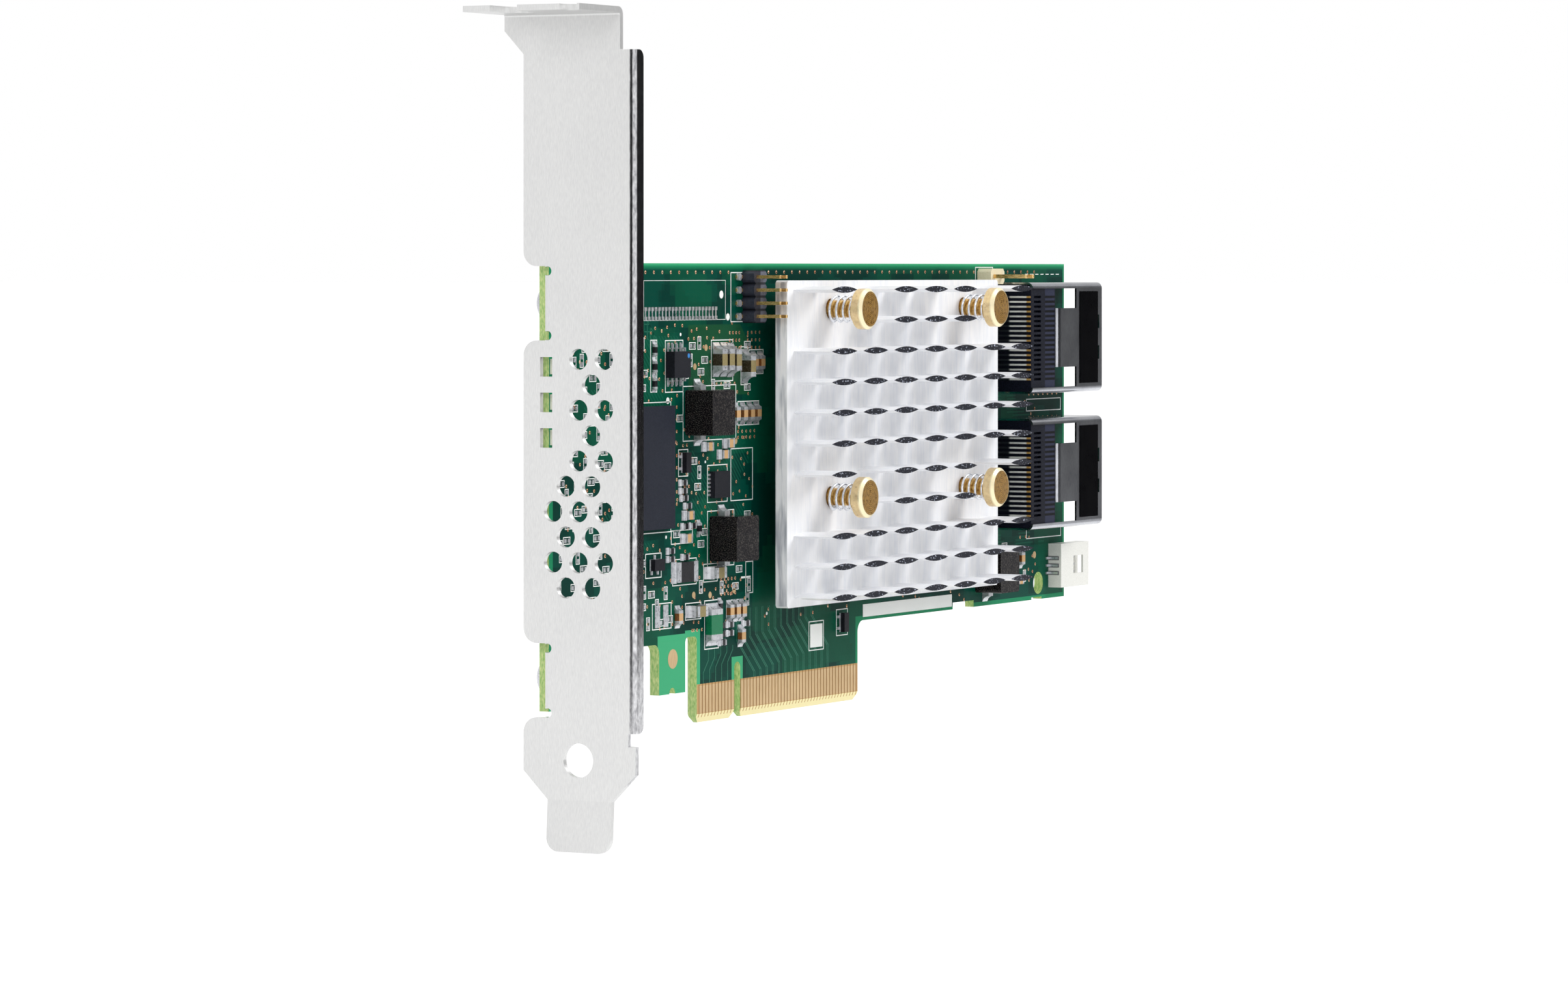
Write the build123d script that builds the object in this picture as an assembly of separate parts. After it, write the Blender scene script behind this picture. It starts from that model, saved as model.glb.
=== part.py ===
from build123d import *
import os
from math import cos, pi, radians, sin, tan

# A storage controller expansion card, standing on its card edge as it does in its slot.
# Origin: centre of the key notch, middle of the board's thickness, tip of the edge contacts.
# +X runs along the board away from the bracket, the component side faces -Y, and +Z is up.

# Board
BOARD_THICKNESS = 1.57
BOARD_ABOVE_SINK = 2.6
BOARD_BOTTOM = 12.4
BOARD_PAST_SINK = 36.5
SLOT_CORNER = 0.8
KEY_TO_BRACKET = 57.93
BOARD_FROM_BRACKET = 1.9
LEG_LENGTH = 12.0
LEG_BOTTOM = 4.7
TAB_START = 33.9
TAB_WIDTH = 7.9
TAB_BOTTOM = 4.85
TAB_ROOT_RADIUS = 1.5
SLOT_TOP = 13.0
TOOLING_HOLE = 3.7
TOOLING_HOLE_FROM_END = 10.15
TOOLING_HOLE_Z = 15.15

# Notches left by the break-off tabs: (distance from the board's end, width, height)
BREAK_NOTCHES = ((42.37, 7.7, 1.1), (12.77, 3.9, 0.4))
BITE_RADIUS = 0.9

# Card edge connector
TONGUE_SHORT = 11.65
TONGUE_LONG = 38.65
KEY_WIDTH = 1.9
KEY_DEPTH = 8.4
TONGUE_CHAMFER = 0.9
TONGUE_FILLET = 1.8
BEVEL_HEIGHT = 1.3
BEVEL_ANGLE = 20.0
PAD_PITCH = 1.0
PAD_WIDTH = 0.7
PAD_MARGIN = 0.75
PAD_LOW = 1.4
PAD_HIGH = 5.5
PAD_THICKNESS = 0.04
SHORT_SIDE_PADS = 11
LONG_SIDE_PADS = 38

# Bracket, folded sheet steel
SHEET = 0.86
BEND_INSIDE = 0.34
BRACKET_HEIGHT = 120.02
BRACKET_TOP = 105.09
BRACKET_WIDTH = 18.42
BRACKET_BEHIND_BOARD = 3.08
TOP_SHIFT = 3.17
TOP_WIDTH = 19.05
TOP_STEP_Z = 101.95
TOP_STEP_LOW_Z = 98.6
FLANGE_DEPTH = 11.43
FLANGE_SLOT_WIDTH = 4.42
FLANGE_SLOT_DEPTH = 6.4
FLANGE_SLOT_FROM_EDGE = 6.7
FLANGE_NICK_WIDTH = 2.8
FLANGE_NICK_DEPTH = 2.4
FLANGE_NICK_FROM_EDGE = 1.8
LIP_DEPTH = 2.3
LIP_TOP = 99.0
LIP_BOTTOM = 2.2
SHOULDER_TOP = 0.35
SHOULDER_BOTTOM = -3.6
TONGUE_WIDTH = 10.5
TONGUE_LEFT = -0.9
BRACKET_TONGUE_TOP = -7.6
TONGUE_LEAN = 0.5
LEAN_TOLERANCE = 5.0
TONGUE_CORNER = 2.0
BRACKET_HOLE = 4.9
BRACKET_HOLE_Y = -5.95
BRACKET_HOLE_Z = -1.9
NOTCH_HEIGHT = 10.6
NOTCH_DEPTH = 3.6
NOTCH_CORNER = 2.1
NOTCH_CENTRES = (63.05, 9.3)
TAB_HEIGHT = 7.4
TAB_LENGTH = 10.5
RELIEF_DIAMETER = 1.35
RELIEF_OFFSET = 4.6
VENT_DIAMETER = 3.0
VENT_PITCH = 4.17
VENT_TOP_Z = 55.1
VENT_RIGHT_Y = -10.15
VENT_ROWS = 10
VENT_FREE_OF_LIGHTS = 3.5
LED_WINDOW_WIDTH = 2.0
LED_WINDOW_HEIGHT = 2.8
LED_TOP_Z = 54.0
LED_PITCH = 5.07
LED_COUNT = 3
LED_SIDE_Y = -0.67

# Bracket screws
SCREW_THREAD = 3.0
SCREW_HEAD = 5.6
SCREW_HEAD_HEIGHT = 2.0
SCREW_HEAD_BEVEL = 0.7
SCREW_CROSS = (3.2, 0.7, 1.0)
SCREW_FROM_BRACKET = 6.6
SCREW_HOLE = 3.3
SCREW_REACH = 1.2
THREAD_GAP = 0.05

# How far a cutter runs past what it cuts
OVERSHOOT = 1.0

# Heatsink
SINK_LEFT = 63.7
SINK_LENGTH = 73.4
SINK_BOTTOM = 16.3
SINK_HEIGHT = 49.9
SINK_STANDOFF = 3.5
SINK_BASE = 2.0
SINK_BORDER = 2.1
SINK_BORDER_STEP = 0.18
SINK_CORNER = 0.6
FIN_PITCH_X = 10.39
FIN_PITCH_Z = 4.7
FIN_LENGTH = 8.4
FIN_THICKNESS = 1.0
FIN_HEIGHT = 6.5
FIN_TOP_MARGIN = 1.4
FIN_LOW_MARGIN = 0.9
FIN_END_MARGIN = 0.3
FIN_SIDE_MARGIN = 2.3
FIN_FREE_CIRCLE = 9.1

# Push pins and springs
PIN_FROM_LEFT = 14.6
PIN_FROM_RIGHT = 12.8
PIN_FROM_BOTTOM = 16.5
PIN_FROM_TOP = 4.4
PIN_SHAFT = 2.7
PIN_HOLE = 3.2
PIN_HEAD = 6.3
PIN_HEAD_THICKNESS = 1.8
PIN_HEAD_BEVEL = 0.4
PIN_COLLAR = 3.1
PIN_COLLAR_LENGTH = 1.3
PIN_RISE = 6.9
BARB_DIAMETER = 3.7
BARB_LENGTH = 2.2
BARB_TIP = 1.6
BARB_STRAIGHT = 0.4
PIN_SLIT = 0.6
SPRING_WIRE = 0.45
SPRING_OUTSIDE = 4.3
SPRING_TURNS = 4
SPRING_STEPS = 10
SPRING_SIDES = 6

# Controller chip
CHIP_SIZE = 31.0
CHIP_SUBSTRATE = 1.3
CHIP_LID_SIZE = 25.0
CHIP_HEIGHT = 2.9

# Cable ports
PORT_CENTRES = (56.53, 34.0)
PORT_WIDTH = 18.4
PORT_HEIGHT = 7.1
PORT_DEPTH = 26.9
PORT_SHEET = 0.3
PORT_CLEARANCE = 0.05
HOUSING_DEPTH = 9.2
BLADE_SLOT_WIDTH = 15.2
BLADE_SLOT_HEIGHT = 1.5
BLADE_SLOT_DEPTH = 6.0
CONTACTS_PER_PORT = 18
CONTACT_PITCH = 0.8
CONTACT_WIDTH = 0.3
CONTACT_THICKNESS = 0.25
CONTACT_FOOT = 1.3
CONTACT_TOP = 6.7
COMB_LENGTH = 2.7
COMB_FROM_BACK = 1.1
COMB_DEPTH = 0.5
BAND_DEPTH = 10.1
STRAP_WIDTH = 9.8
STRAP_LENGTH = 7.0
STRAP_CURL = 0.6
STRAP_DROP = 0.2
CAGE_CORNER = 1.0
LATCH_WINDOW_LENGTH = 2.3
LATCH_WINDOW_WIDTH = 0.7
LATCH_WINDOW_SPREAD = 5.2
LATCH_WINDOW_FROM_MOUTH = 1.0
LABEL_LENGTH = 7.3
LABEL_WIDTH = 15.4
LABEL_THICKNESS = 0.1
LABEL_FROM_MOUTH = 1.45

# White side-entry connector
WIRE_FROM_END = 6.17
WIRE_Z = 17.9
WIRE_LENGTH = 10.9
WIRE_WIDTH = 7.4
WIRE_HEIGHT = 2.4
WIRE_WALL = 0.35
WIRE_MOUTH_DEPTH = 7.0
WIRE_WINDOW = (3.8, 3.0)
WIRE_WINDOW_FROM_MOUTH = 2.2
WIRE_CONTACTS = 3
WIRE_PITCH = 1.25
WIRE_CONTACT_WIDTH = 0.4
WIRE_TAIL = 1.0

# Pin headers
CABLE_HEADER_GAP = 0.4
CABLE_HEADER_MARGIN = 1.05
CABLE_HEADER_PITCH = 2.0
CABLE_HEADER_ROWS = 4
CABLE_HEADER_BODY = 2.2
CABLE_HEADER_CHAMFER = 0.5
CABLE_HEADER_REACH = 6.3
HEADER_FOOT = 1.9
JUMPER_GAP = 3.2
JUMPER_FROM_TOP = 2.05
JUMPER_PITCH = 2.54
JUMPER_BODY = 2.5
JUMPER_REACH = 8.5
CABLE_PIN_WIDTH = 0.5
JUMPER_PIN_WIDTH = 0.64

# Chips, each as (left edge, bottom edge, length, height in Z, thickness)
MEMORY_CHIP = (-32.6, 29.5, 11.5, 18.2, 1.1)
SERIAL_CHIP = (-22.0, 51.8, 4.9, 3.9, 1.5)
SERIAL_LEADS = 4
LEAD_PITCH = 1.27
LEAD_WIDTH = 0.42
LEAD_REACH = 1.1
LEAD_THICKNESS = 0.2
REGULATOR_CHIP = (-8.6, 33.5, 4.8, 4.0, 0.9)
TRANSISTORS = ((-17.6, 37.6, 1.5, 3.0), (-27.1, 23.4, 3.0, 1.7), (33.2, 11.0, 1.5, 3.0))
TRANSISTOR_HEIGHT = 1.05
TRANSISTOR_GULL = 0.6
TRANSISTOR_LEGS = ((0.2, 0), (0.8, 0), (0.5, 1))
INDUCTORS = ((-16.2, 43.1), (-8.7, 24.0))
OUTER_INDUCTOR_GAP = 2.4
OUTER_INDUCTOR_Z = 14.7
INDUCTOR_SIZE = 6.8
INDUCTOR_LENGTH = 7.0
INDUCTOR_HEIGHT = 4.7
INDUCTOR_FOOT = 1.6
INDUCTOR_FOOT_REACH = 0.7
FUSE = (-9.8, 12.2, 3.5, 4.6, 1.0)
FUSE_END_SHARE = 0.18
SENSE_RESISTOR = (-19.6, 21.3, 6.4, 3.0, 0.6)
SENSE_END_SHARE = 0.2
LED_SIZE = (1.2, 1.1, 2.2)
LED_BACK = 0.3

# Small two-ended parts: (centre X, centre Z) and the way the long side runs
CAPACITOR_LARGE = (3.2, 1.6, 1.7)
CAPACITOR_SMALL = (2.0, 1.25, 0.75)
RESISTOR_SMALL = (1.6, 0.8, 0.45)
END_SHARE = 0.45
LARGE_ACROSS = ((-6.9, 54.3), (-4.6, 54.3), (-2.4, 54.2), (2.1, 53.2))
LARGE_ALONG = ((-7.9, 22.3), (-13.7, 16.8))
SMALL_ACROSS = (
    (-0.8, 46.0), (1.5, 46.0), (3.7, 46.0), (5.8, 46.0), (4.9, 53.7), (7.0, 53.7),
    (-18.7, 16.2), (-2.8, 16.2), (-0.8, 16.2), (1.1, 16.2), (0.8, 12.3),
)
SMALL_ALONG = ((-3.1, 41.6), (-4.8, 40.0), (-9.6, 41.3), (-16.1, 27.8), (-15.6, 31.2))
RESISTORS_ALONG = (
    (-17.0, 36.1), (-17.0, 34.9), (-16.7, 33.8), (-15.6, 32.6), (-16.4, 29.6), (-14.2, 29.6),
    (-16.4, 25.0), (-20.8, 26.1), (-20.8, 24.9), (-4.9, 14.2), (-4.9, 12.9), (-4.9, 11.6),
    (-2.6, 14.2), (-2.6, 12.9), (2.5, 14.1),
)
RESISTORS_ACROSS = ((-12.2, 29.1), (-25.7, 56.0), (-25.7, 53.5), (-25.7, 51.0), (-5.7, 17.1))

# The same beside the ports: (distance from the board's end, centre Z)
END_SMALL_ACROSS = ((19.67, 19.6), (17.27, 19.6))
END_SMALL_ALONG = ((18.07, 16.0),)

COMPONENT_FACE = -BOARD_THICKNESS / 2
BACK_FACE = BOARD_THICKNESS / 2
BRACKET_FACE = -KEY_TO_BRACKET
BOARD_LEFT = BRACKET_FACE + BOARD_FROM_BRACKET
TONGUE_START = -KEY_WIDTH / 2 - TONGUE_SHORT
TONGUE_END = KEY_WIDTH / 2 + TONGUE_LONG
TAB_LEFT = BRACKET_FACE + TAB_START
BEND_OUTSIDE = BEND_INSIDE + SHEET
BRACKET_LEFT = COMPONENT_FACE + BRACKET_BEHIND_BOARD
BRACKET_RIGHT = BRACKET_LEFT - BRACKET_WIDTH
TOP_LEFT = BRACKET_LEFT + TOP_SHIFT
TOP_RIGHT = TOP_LEFT - TOP_WIDTH
SINK_X = BRACKET_FACE + SINK_LEFT
SINK_TOP = SINK_BOTTOM + SINK_HEIGHT
BOARD_RIGHT = SINK_X + SINK_LENGTH + BOARD_PAST_SINK
BOARD_TOP = SINK_TOP + BOARD_ABOVE_SINK
CABLE_HEADER_LEFT = SINK_X - CABLE_HEADER_GAP - 2 * CABLE_HEADER_PITCH
CABLE_HEADER_TOP_Z = BOARD_TOP - CABLE_HEADER_MARGIN
SINK_BACK = COMPONENT_FACE - SINK_STANDOFF
SINK_FRONT = SINK_BACK - SINK_BASE
SINK_CENTRE = (SINK_X + SINK_LENGTH / 2, (SINK_BOTTOM + SINK_TOP) / 2)
INDUCTOR_SPOTS = INDUCTORS + ((SINK_X + SINK_LENGTH + OUTER_INDUCTOR_GAP, OUTER_INDUCTOR_Z),)
JUMPER_LEFT = SINK_X + SINK_LENGTH + JUMPER_GAP
JUMPER_Z = BOARD_TOP - JUMPER_FROM_TOP
PIN_SPOTS = [(x, z) for x in (SINK_X + PIN_FROM_LEFT, SINK_X + SINK_LENGTH - PIN_FROM_RIGHT)
             for z in (SINK_BOTTOM + PIN_FROM_BOTTOM, SINK_TOP - PIN_FROM_TOP)]
SCREW_X = BRACKET_FACE + SCREW_FROM_BRACKET
PORT_BACK = BOARD_RIGHT - PORT_DEPTH
WIRE_X = BOARD_RIGHT - WIRE_FROM_END
HOUSING_FRONT = PORT_BACK + HOUSING_DEPTH
LATCH_WINDOW_X = BOARD_RIGHT - LATCH_WINDOW_FROM_MOUTH - LATCH_WINDOW_WIDTH

os.makedirs("parts", exist_ok=True)


def save(name, pieces):
    """Write one node: a single solid, or a group of separate ones."""
    if isinstance(pieces, (list, tuple)):
        solids = [solid for piece in pieces for solid in piece.solids()]
    else:
        solids = pieces.solids()
    shape = solids[0] if len(solids) == 1 else Compound(children=solids)
    shape.label = name
    export_step(shape, os.path.join("parts", name + ".step"))


def span(x0, x1, y0, y1, z0, z1):
    """A box between two corners."""
    size = (abs(x1 - x0), abs(y1 - y0), abs(z1 - z0))
    return Pos((x0 + x1) / 2, (y0 + y1) / 2, (z0 + z1) / 2) * Box(*size)


def raised(x, z, length, tall, height, start=0.0):
    """A box on the component side: its lower left corner, its size and its height off the board."""
    top = COMPONENT_FACE - start - height
    return span(x, x + length, COMPONENT_FACE - start, top, z, z + tall)


def across_board(x, z, diameter):
    """A round cutter through the board's thickness and what lies on it."""
    reach = 4 * BOARD_THICKNESS
    return Pos(x, 0, z) * Rot(X=90) * Cylinder(diameter / 2, reach)


def rounded(sketch, radius, *corners):
    """Round the sketch's corners that lie nearest to the points given."""
    picked = [min(sketch.vertices(), key=lambda v: (v.X - x) ** 2 + (v.Y - z) ** 2) for x, z in corners]
    return fillet(picked, radius)


def bent_strip(flat, leg, width):
    """A sheet strip with one right-angle bend, drawn with its outer corner at the origin.

    The flat runs along -X, the leg rises along +Y, and the strip is `width` wide along Z."""
    outer, inner = BEND_OUTSIDE, BEND_INSIDE
    edge = [
        Line((-flat, 0), (-outer, 0)),
        CenterArc((-outer, outer), outer, -90, 90),
        Line((0, outer), (0, leg)),
        Line((0, leg), (-SHEET, leg)),
        Line((-SHEET, leg), (-SHEET, outer)),
        CenterArc((-outer, outer), inner, 0, -90),
        Line((-outer, SHEET), (-flat, SHEET)),
        Line((-flat, SHEET), (-flat, 0)),
    ]
    return extrude(make_face(Wire(edge)), width / 2, both=True)


def board_outline():
    """The board seen from the component side, in X and Z."""
    def rect(x0, x1, z0, z1):
        return Pos((x0 + x1) / 2, (z0 + z1) / 2) * Rectangle(x1 - x0, z1 - z0)

    tab_right = TAB_LEFT + TAB_WIDTH
    outline = rect(BOARD_LEFT, BOARD_RIGHT, BOARD_BOTTOM, BOARD_TOP)
    outline += rect(BOARD_LEFT, BOARD_LEFT + LEG_LENGTH, LEG_BOTTOM, BOARD_BOTTOM)
    outline += rect(TAB_LEFT, tab_right, TAB_BOTTOM, BOARD_BOTTOM)
    outline += rect(TONGUE_START, TONGUE_END, 0, BOARD_BOTTOM)
    outline -= rect(tab_right, TONGUE_START, TAB_BOTTOM, SLOT_TOP)
    outline -= rect(-KEY_WIDTH / 2, KEY_WIDTH / 2, 0, KEY_DEPTH - KEY_WIDTH / 2)
    for from_end, width, height in BREAK_NOTCHES:
        start = BOARD_RIGHT - from_end
        outline -= rect(start, start + width, BOARD_BOTTOM, BOARD_BOTTOM + height)
    outline = outline.face()
    outline = rounded(outline, TAB_ROOT_RADIUS, (TAB_LEFT, BOARD_BOTTOM))
    outline = rounded(outline, TONGUE_FILLET, (TONGUE_END, BOARD_BOTTOM))
    outline = rounded(outline, SLOT_CORNER, (tab_right, SLOT_TOP), (TONGUE_START, SLOT_TOP))
    tips = [(x, 0) for x in (TONGUE_START, -KEY_WIDTH / 2, KEY_WIDTH / 2, TONGUE_END)]
    picked = [min(outline.vertices(), key=lambda v: (v.X - x) ** 2 + (v.Y - z) ** 2) for x, z in tips]
    outline = chamfer(picked, TONGUE_CHAMFER)
    bite = Pos(TAB_LEFT + TAB_WIDTH / 2, TAB_BOTTOM) * Circle(BITE_RADIUS)
    key_end = Pos(0, KEY_DEPTH - KEY_WIDTH / 2) * Circle(KEY_WIDTH / 2)
    return Sketch() + outline - bite - key_end


def bevel_cutters():
    """Wedges that slope both faces of the card edge."""
    rise, depth = BEVEL_HEIGHT, BEVEL_HEIGHT * tan(radians(BEVEL_ANGLE))
    cutters = []
    for side in (-1, 1):
        face = side * BOARD_THICKNESS / 2
        slope, clear = face - side * depth, face + side * depth
        points = [(face, rise), (slope, 0), (slope, -rise), (clear, -rise), (clear, rise)]
        wedge = make_face(Polyline(*points, close=True))
        start = TONGUE_START - OVERSHOOT
        cutters.append(Pos(start, 0, 0) * extrude(Plane.YZ * wedge, TONGUE_END + OVERSHOOT - start))
    return cutters


def circuit_board():
    plane = Plane.XZ.offset(-BOARD_THICKNESS / 2)
    board = extrude(plane * board_outline(), BOARD_THICKNESS)
    for cutter in bevel_cutters():
        board -= cutter
    for x, z in PIN_SPOTS:
        board -= across_board(x, z, PIN_HOLE)
    for z in NOTCH_CENTRES:
        board -= across_board(SCREW_X, z, SCREW_HOLE)
    board -= across_board(BOARD_RIGHT - TOOLING_HOLE_FROM_END, TOOLING_HOLE_Z, TOOLING_HOLE)
    return board


def edge_contacts():
    """Gold pads on both faces of the card edge, in two groups beside the key notch."""
    first_short = TONGUE_START + PAD_MARGIN
    key_gap = TONGUE_SHORT - PAD_MARGIN - PAD_WIDTH - (SHORT_SIDE_PADS - 1) * PAD_PITCH
    first_long = KEY_WIDTH / 2 + key_gap
    lefts = [first_short + i * PAD_PITCH for i in range(SHORT_SIDE_PADS)]
    lefts += [first_long + i * PAD_PITCH for i in range(LONG_SIDE_PADS)]
    pads = []
    for face in (COMPONENT_FACE - PAD_THICKNESS, BACK_FACE):
        for left in lefts:
            pads.append(span(left, left + PAD_WIDTH, face, face + PAD_THICKNESS, PAD_LOW, PAD_HIGH))
    return pads


def bracket_plate():
    """The flat of the bracket, in Y and Z, without its folds."""
    bend_line = BRACKET_RIGHT + BEND_OUTSIDE
    top = BRACKET_TOP - BEND_OUTSIDE
    left_neck = COMPONENT_FACE + TONGUE_LEFT
    points = [
        (TOP_LEFT, top), (TOP_LEFT, TOP_STEP_Z), (BRACKET_LEFT, TOP_STEP_LOW_Z),
        (BRACKET_LEFT, SHOULDER_BOTTOM), (left_neck, BRACKET_TONGUE_TOP),
        (left_neck - TONGUE_WIDTH, BRACKET_TONGUE_TOP), (BRACKET_RIGHT, SHOULDER_BOTTOM),
        (BRACKET_RIGHT, SHOULDER_TOP), (bend_line, SHOULDER_TOP), (bend_line, LIP_TOP),
        (TOP_RIGHT, LIP_TOP), (TOP_RIGHT, top),
    ]
    plate = make_face(Polyline(*points, close=True))
    for z in NOTCH_CENTRES:
        plate = plate - notch_opening(z) - tab_cutback(z)
    for y, z in vent_centres():
        plate -= Pos(y, z) * Circle(VENT_DIAMETER / 2)
    for i in range(LED_COUNT):
        centre = Pos(COMPONENT_FACE + LED_SIDE_Y, LED_TOP_Z - i * LED_PITCH)
        plate -= centre * Rectangle(LED_WINDOW_WIDTH, LED_WINDOW_HEIGHT)
    plate -= Pos(COMPONENT_FACE + BRACKET_HOLE_Y, BRACKET_HOLE_Z) * Circle(BRACKET_HOLE / 2)
    return plate


def notch_opening(z):
    """The side opening where the board's end and its tab show, with round reliefs at its corners."""
    inner = BRACKET_LEFT - NOTCH_DEPTH
    width = NOTCH_DEPTH + NOTCH_CORNER
    opening = Pos(inner + width / 2, z) * Rectangle(width, NOTCH_HEIGHT)
    for side in (-1, 1):
        edge = z + side * NOTCH_HEIGHT / 2
        square = Pos(BRACKET_LEFT - NOTCH_CORNER / 2, edge + side * NOTCH_CORNER / 2)
        corner = square * Rectangle(NOTCH_CORNER, NOTCH_CORNER)
        corner -= Pos(BRACKET_LEFT - NOTCH_CORNER, edge + side * NOTCH_CORNER) * Circle(NOTCH_CORNER)
        opening += corner
        relief = Pos(inner - RELIEF_DIAMETER / 4, z + side * RELIEF_OFFSET)
        opening += relief * Circle(RELIEF_DIAMETER / 2)
    return opening


def tab_cutback(z):
    """The plate stops where the tab's fold begins."""
    inner = COMPONENT_FACE - BEND_OUTSIDE
    outer = BRACKET_LEFT + NOTCH_CORNER
    return Pos((inner + outer) / 2, z) * Rectangle(outer - inner, TAB_HEIGHT)


def vent_centres():
    """A staggered field of round vents, thinned beside the status lights."""
    row_pitch = VENT_PITCH * sin(radians(60))
    lights_side = COMPONENT_FACE + LED_SIDE_Y - VENT_FREE_OF_LIGHTS
    board_side = COMPONENT_FACE - VENT_DIAMETER / 2
    spots = []
    for row in range(VENT_ROWS):
        shift = (row % 2) * VENT_PITCH / 2
        limit = lights_side if row < VENT_ROWS / 2 else board_side
        y = COMPONENT_FACE + VENT_RIGHT_Y + shift
        while y < limit:
            spots.append((y, VENT_TOP_Z - row * row_pitch))
            y += VENT_PITCH
    return spots


def top_flange():
    """The ledge that screws to the chassis, with its screw slot and corner nick."""
    leg = FLANGE_DEPTH + SHEET
    strip = bent_strip(2 * BEND_OUTSIDE, leg, TOP_WIDTH)
    fold = Plane(origin=(BRACKET_FACE + SHEET, (TOP_LEFT + TOP_RIGHT) / 2, BRACKET_TOP),
                 x_dir=(0, 0, 1), z_dir=(0, -1, 0))
    flange = fold * strip
    tip = BRACKET_FACE - FLANGE_DEPTH
    slot = (FLANGE_SLOT_DEPTH, FLANGE_SLOT_WIDTH, TOP_LEFT - FLANGE_SLOT_FROM_EDGE)
    nick = (FLANGE_NICK_DEPTH, FLANGE_NICK_WIDTH, TOP_RIGHT + FLANGE_NICK_FROM_EDGE)
    low, high = BRACKET_TOP - 2 * SHEET, BRACKET_TOP + SHEET
    for depth, width, y in (slot, nick):
        end = tip + depth - width / 2
        flange -= span(tip - OVERSHOOT, end, y - width / 2, y + width / 2, low, high)
        flange -= Pos(end, y, BRACKET_TOP) * Cylinder(width / 2, 4 * SHEET)
    return flange


def side_lip():
    """The stiffening lip along the component side."""
    height = LIP_TOP - LIP_BOTTOM
    strip = bent_strip(2 * BEND_OUTSIDE, LIP_DEPTH, height)
    fold = Plane(origin=(BRACKET_FACE, BRACKET_RIGHT, (LIP_TOP + LIP_BOTTOM) / 2),
                 x_dir=(0, -1, 0), z_dir=(0, 0, 1))
    lip = fold * strip
    far = BRACKET_FACE + LIP_DEPTH
    ends = [e for e in lip.edges().filter_by(Axis.Y) if abs(e.center().X - far) < SHEET / 4]
    return fillet(ends, BEND_OUTSIDE)


def board_tab(z):
    """A tab folded back along the board, with its tapped hole."""
    strip = bent_strip(2 * BEND_OUTSIDE, TAB_LENGTH, TAB_HEIGHT)
    fold = Plane(origin=(BRACKET_FACE, COMPONENT_FACE, z), x_dir=(0, 1, 0), z_dir=(0, 0, -1))
    return fold * strip - across_board(SCREW_X, z, SCREW_THREAD)


def lower_tongue():
    """The tongue that drops into the chassis slot, leaning a little outwards."""
    left_neck = COMPONENT_FACE + TONGUE_LEFT
    centre = left_neck - TONGUE_WIDTH / 2
    low = BRACKET_TOP - BRACKET_HEIGHT
    back = BRACKET_FACE + SHEET
    side = [(BRACKET_FACE, BRACKET_TONGUE_TOP), (back, BRACKET_TONGUE_TOP),
            (back - TONGUE_LEAN, low), (BRACKET_FACE - TONGUE_LEAN, low)]
    tongue = extrude(Plane.XZ * make_face(Polyline(*side, close=True)), TONGUE_WIDTH / 2, both=True)
    tongue = Pos(0, centre, 0) * tongue
    tips = [e for e in tongue.edges().filter_by(Axis.X, tolerance=LEAN_TOLERANCE) if e.center().Z < low + SHEET]
    return fillet(tips, TONGUE_CORNER)


def mounting_bracket():
    bracket = Pos(BRACKET_FACE, 0, 0) * extrude(Plane.YZ * bracket_plate(), SHEET)
    bracket += top_flange()
    bracket += side_lip()
    bracket += lower_tongue()
    for z in NOTCH_CENTRES:
        bracket += board_tab(z)
    return bracket


def bracket_screws():
    """Pan-head screws from the back, through the board into the bracket's tabs."""
    screws = []
    reach = BOARD_THICKNESS + SHEET + SCREW_REACH
    for z in NOTCH_CENTRES:
        head = Cylinder(SCREW_HEAD / 2, SCREW_HEAD_HEIGHT, align=(Align.CENTER, Align.CENTER, Align.MIN))
        head = chamfer(head.edges().group_by(Axis.Z)[-1], SCREW_HEAD_BEVEL)
        length, width, depth = SCREW_CROSS
        for angle in (0, 90):
            head -= Pos(0, 0, SCREW_HEAD_HEIGHT) * Rot(Z=angle) * Box(length, width, 2 * depth)
        shank = Cylinder(SCREW_THREAD / 2 - THREAD_GAP, reach, align=(Align.CENTER, Align.CENTER, Align.MAX))
        screws.append(Pos(SCREW_X, BACK_FACE, z) * Rot(X=-90) * (head + shank))
    return screws


def lens(length, thickness):
    """The pointed oval section of a fin: two arcs meeting at sharp ends."""
    half, bulge = length / 2, thickness / 2
    upper = ThreePointArc((-half, 0), (0, bulge), (half, 0))
    lower = ThreePointArc((half, 0), (0, -bulge), (-half, 0))
    return make_face(Wire([upper, lower]))


def fin_spots():
    """Where the fins stand: a regular field with gaps left round each push pin."""
    left = SINK_X + FIN_SIDE_MARGIN + FIN_LENGTH / 2
    top = SINK_TOP - FIN_TOP_MARGIN
    rows = int((SINK_HEIGHT - FIN_TOP_MARGIN - FIN_LOW_MARGIN) / FIN_PITCH_Z) + 1
    free_length = SINK_LENGTH - FIN_SIDE_MARGIN - FIN_LENGTH - FIN_END_MARGIN
    columns = int(free_length / FIN_PITCH_X) + 1
    clear = FIN_FREE_CIRCLE / 2
    spots = []
    for row in range(rows):
        for column in range(columns):
            x, z = left + column * FIN_PITCH_X, top - row * FIN_PITCH_Z
            if all(clears_pin(x, z, px, pz, clear) for px, pz in PIN_SPOTS):
                spots.append((x, z))
    return spots


def clears_pin(x, z, pin_x, pin_z, clear):
    """True where a fin stays outside the free circle round a push pin."""
    beside = max(abs(x - pin_x) - FIN_LENGTH / 2, 0.0)
    return beside ** 2 + (z - pin_z) ** 2 > clear ** 2


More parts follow.
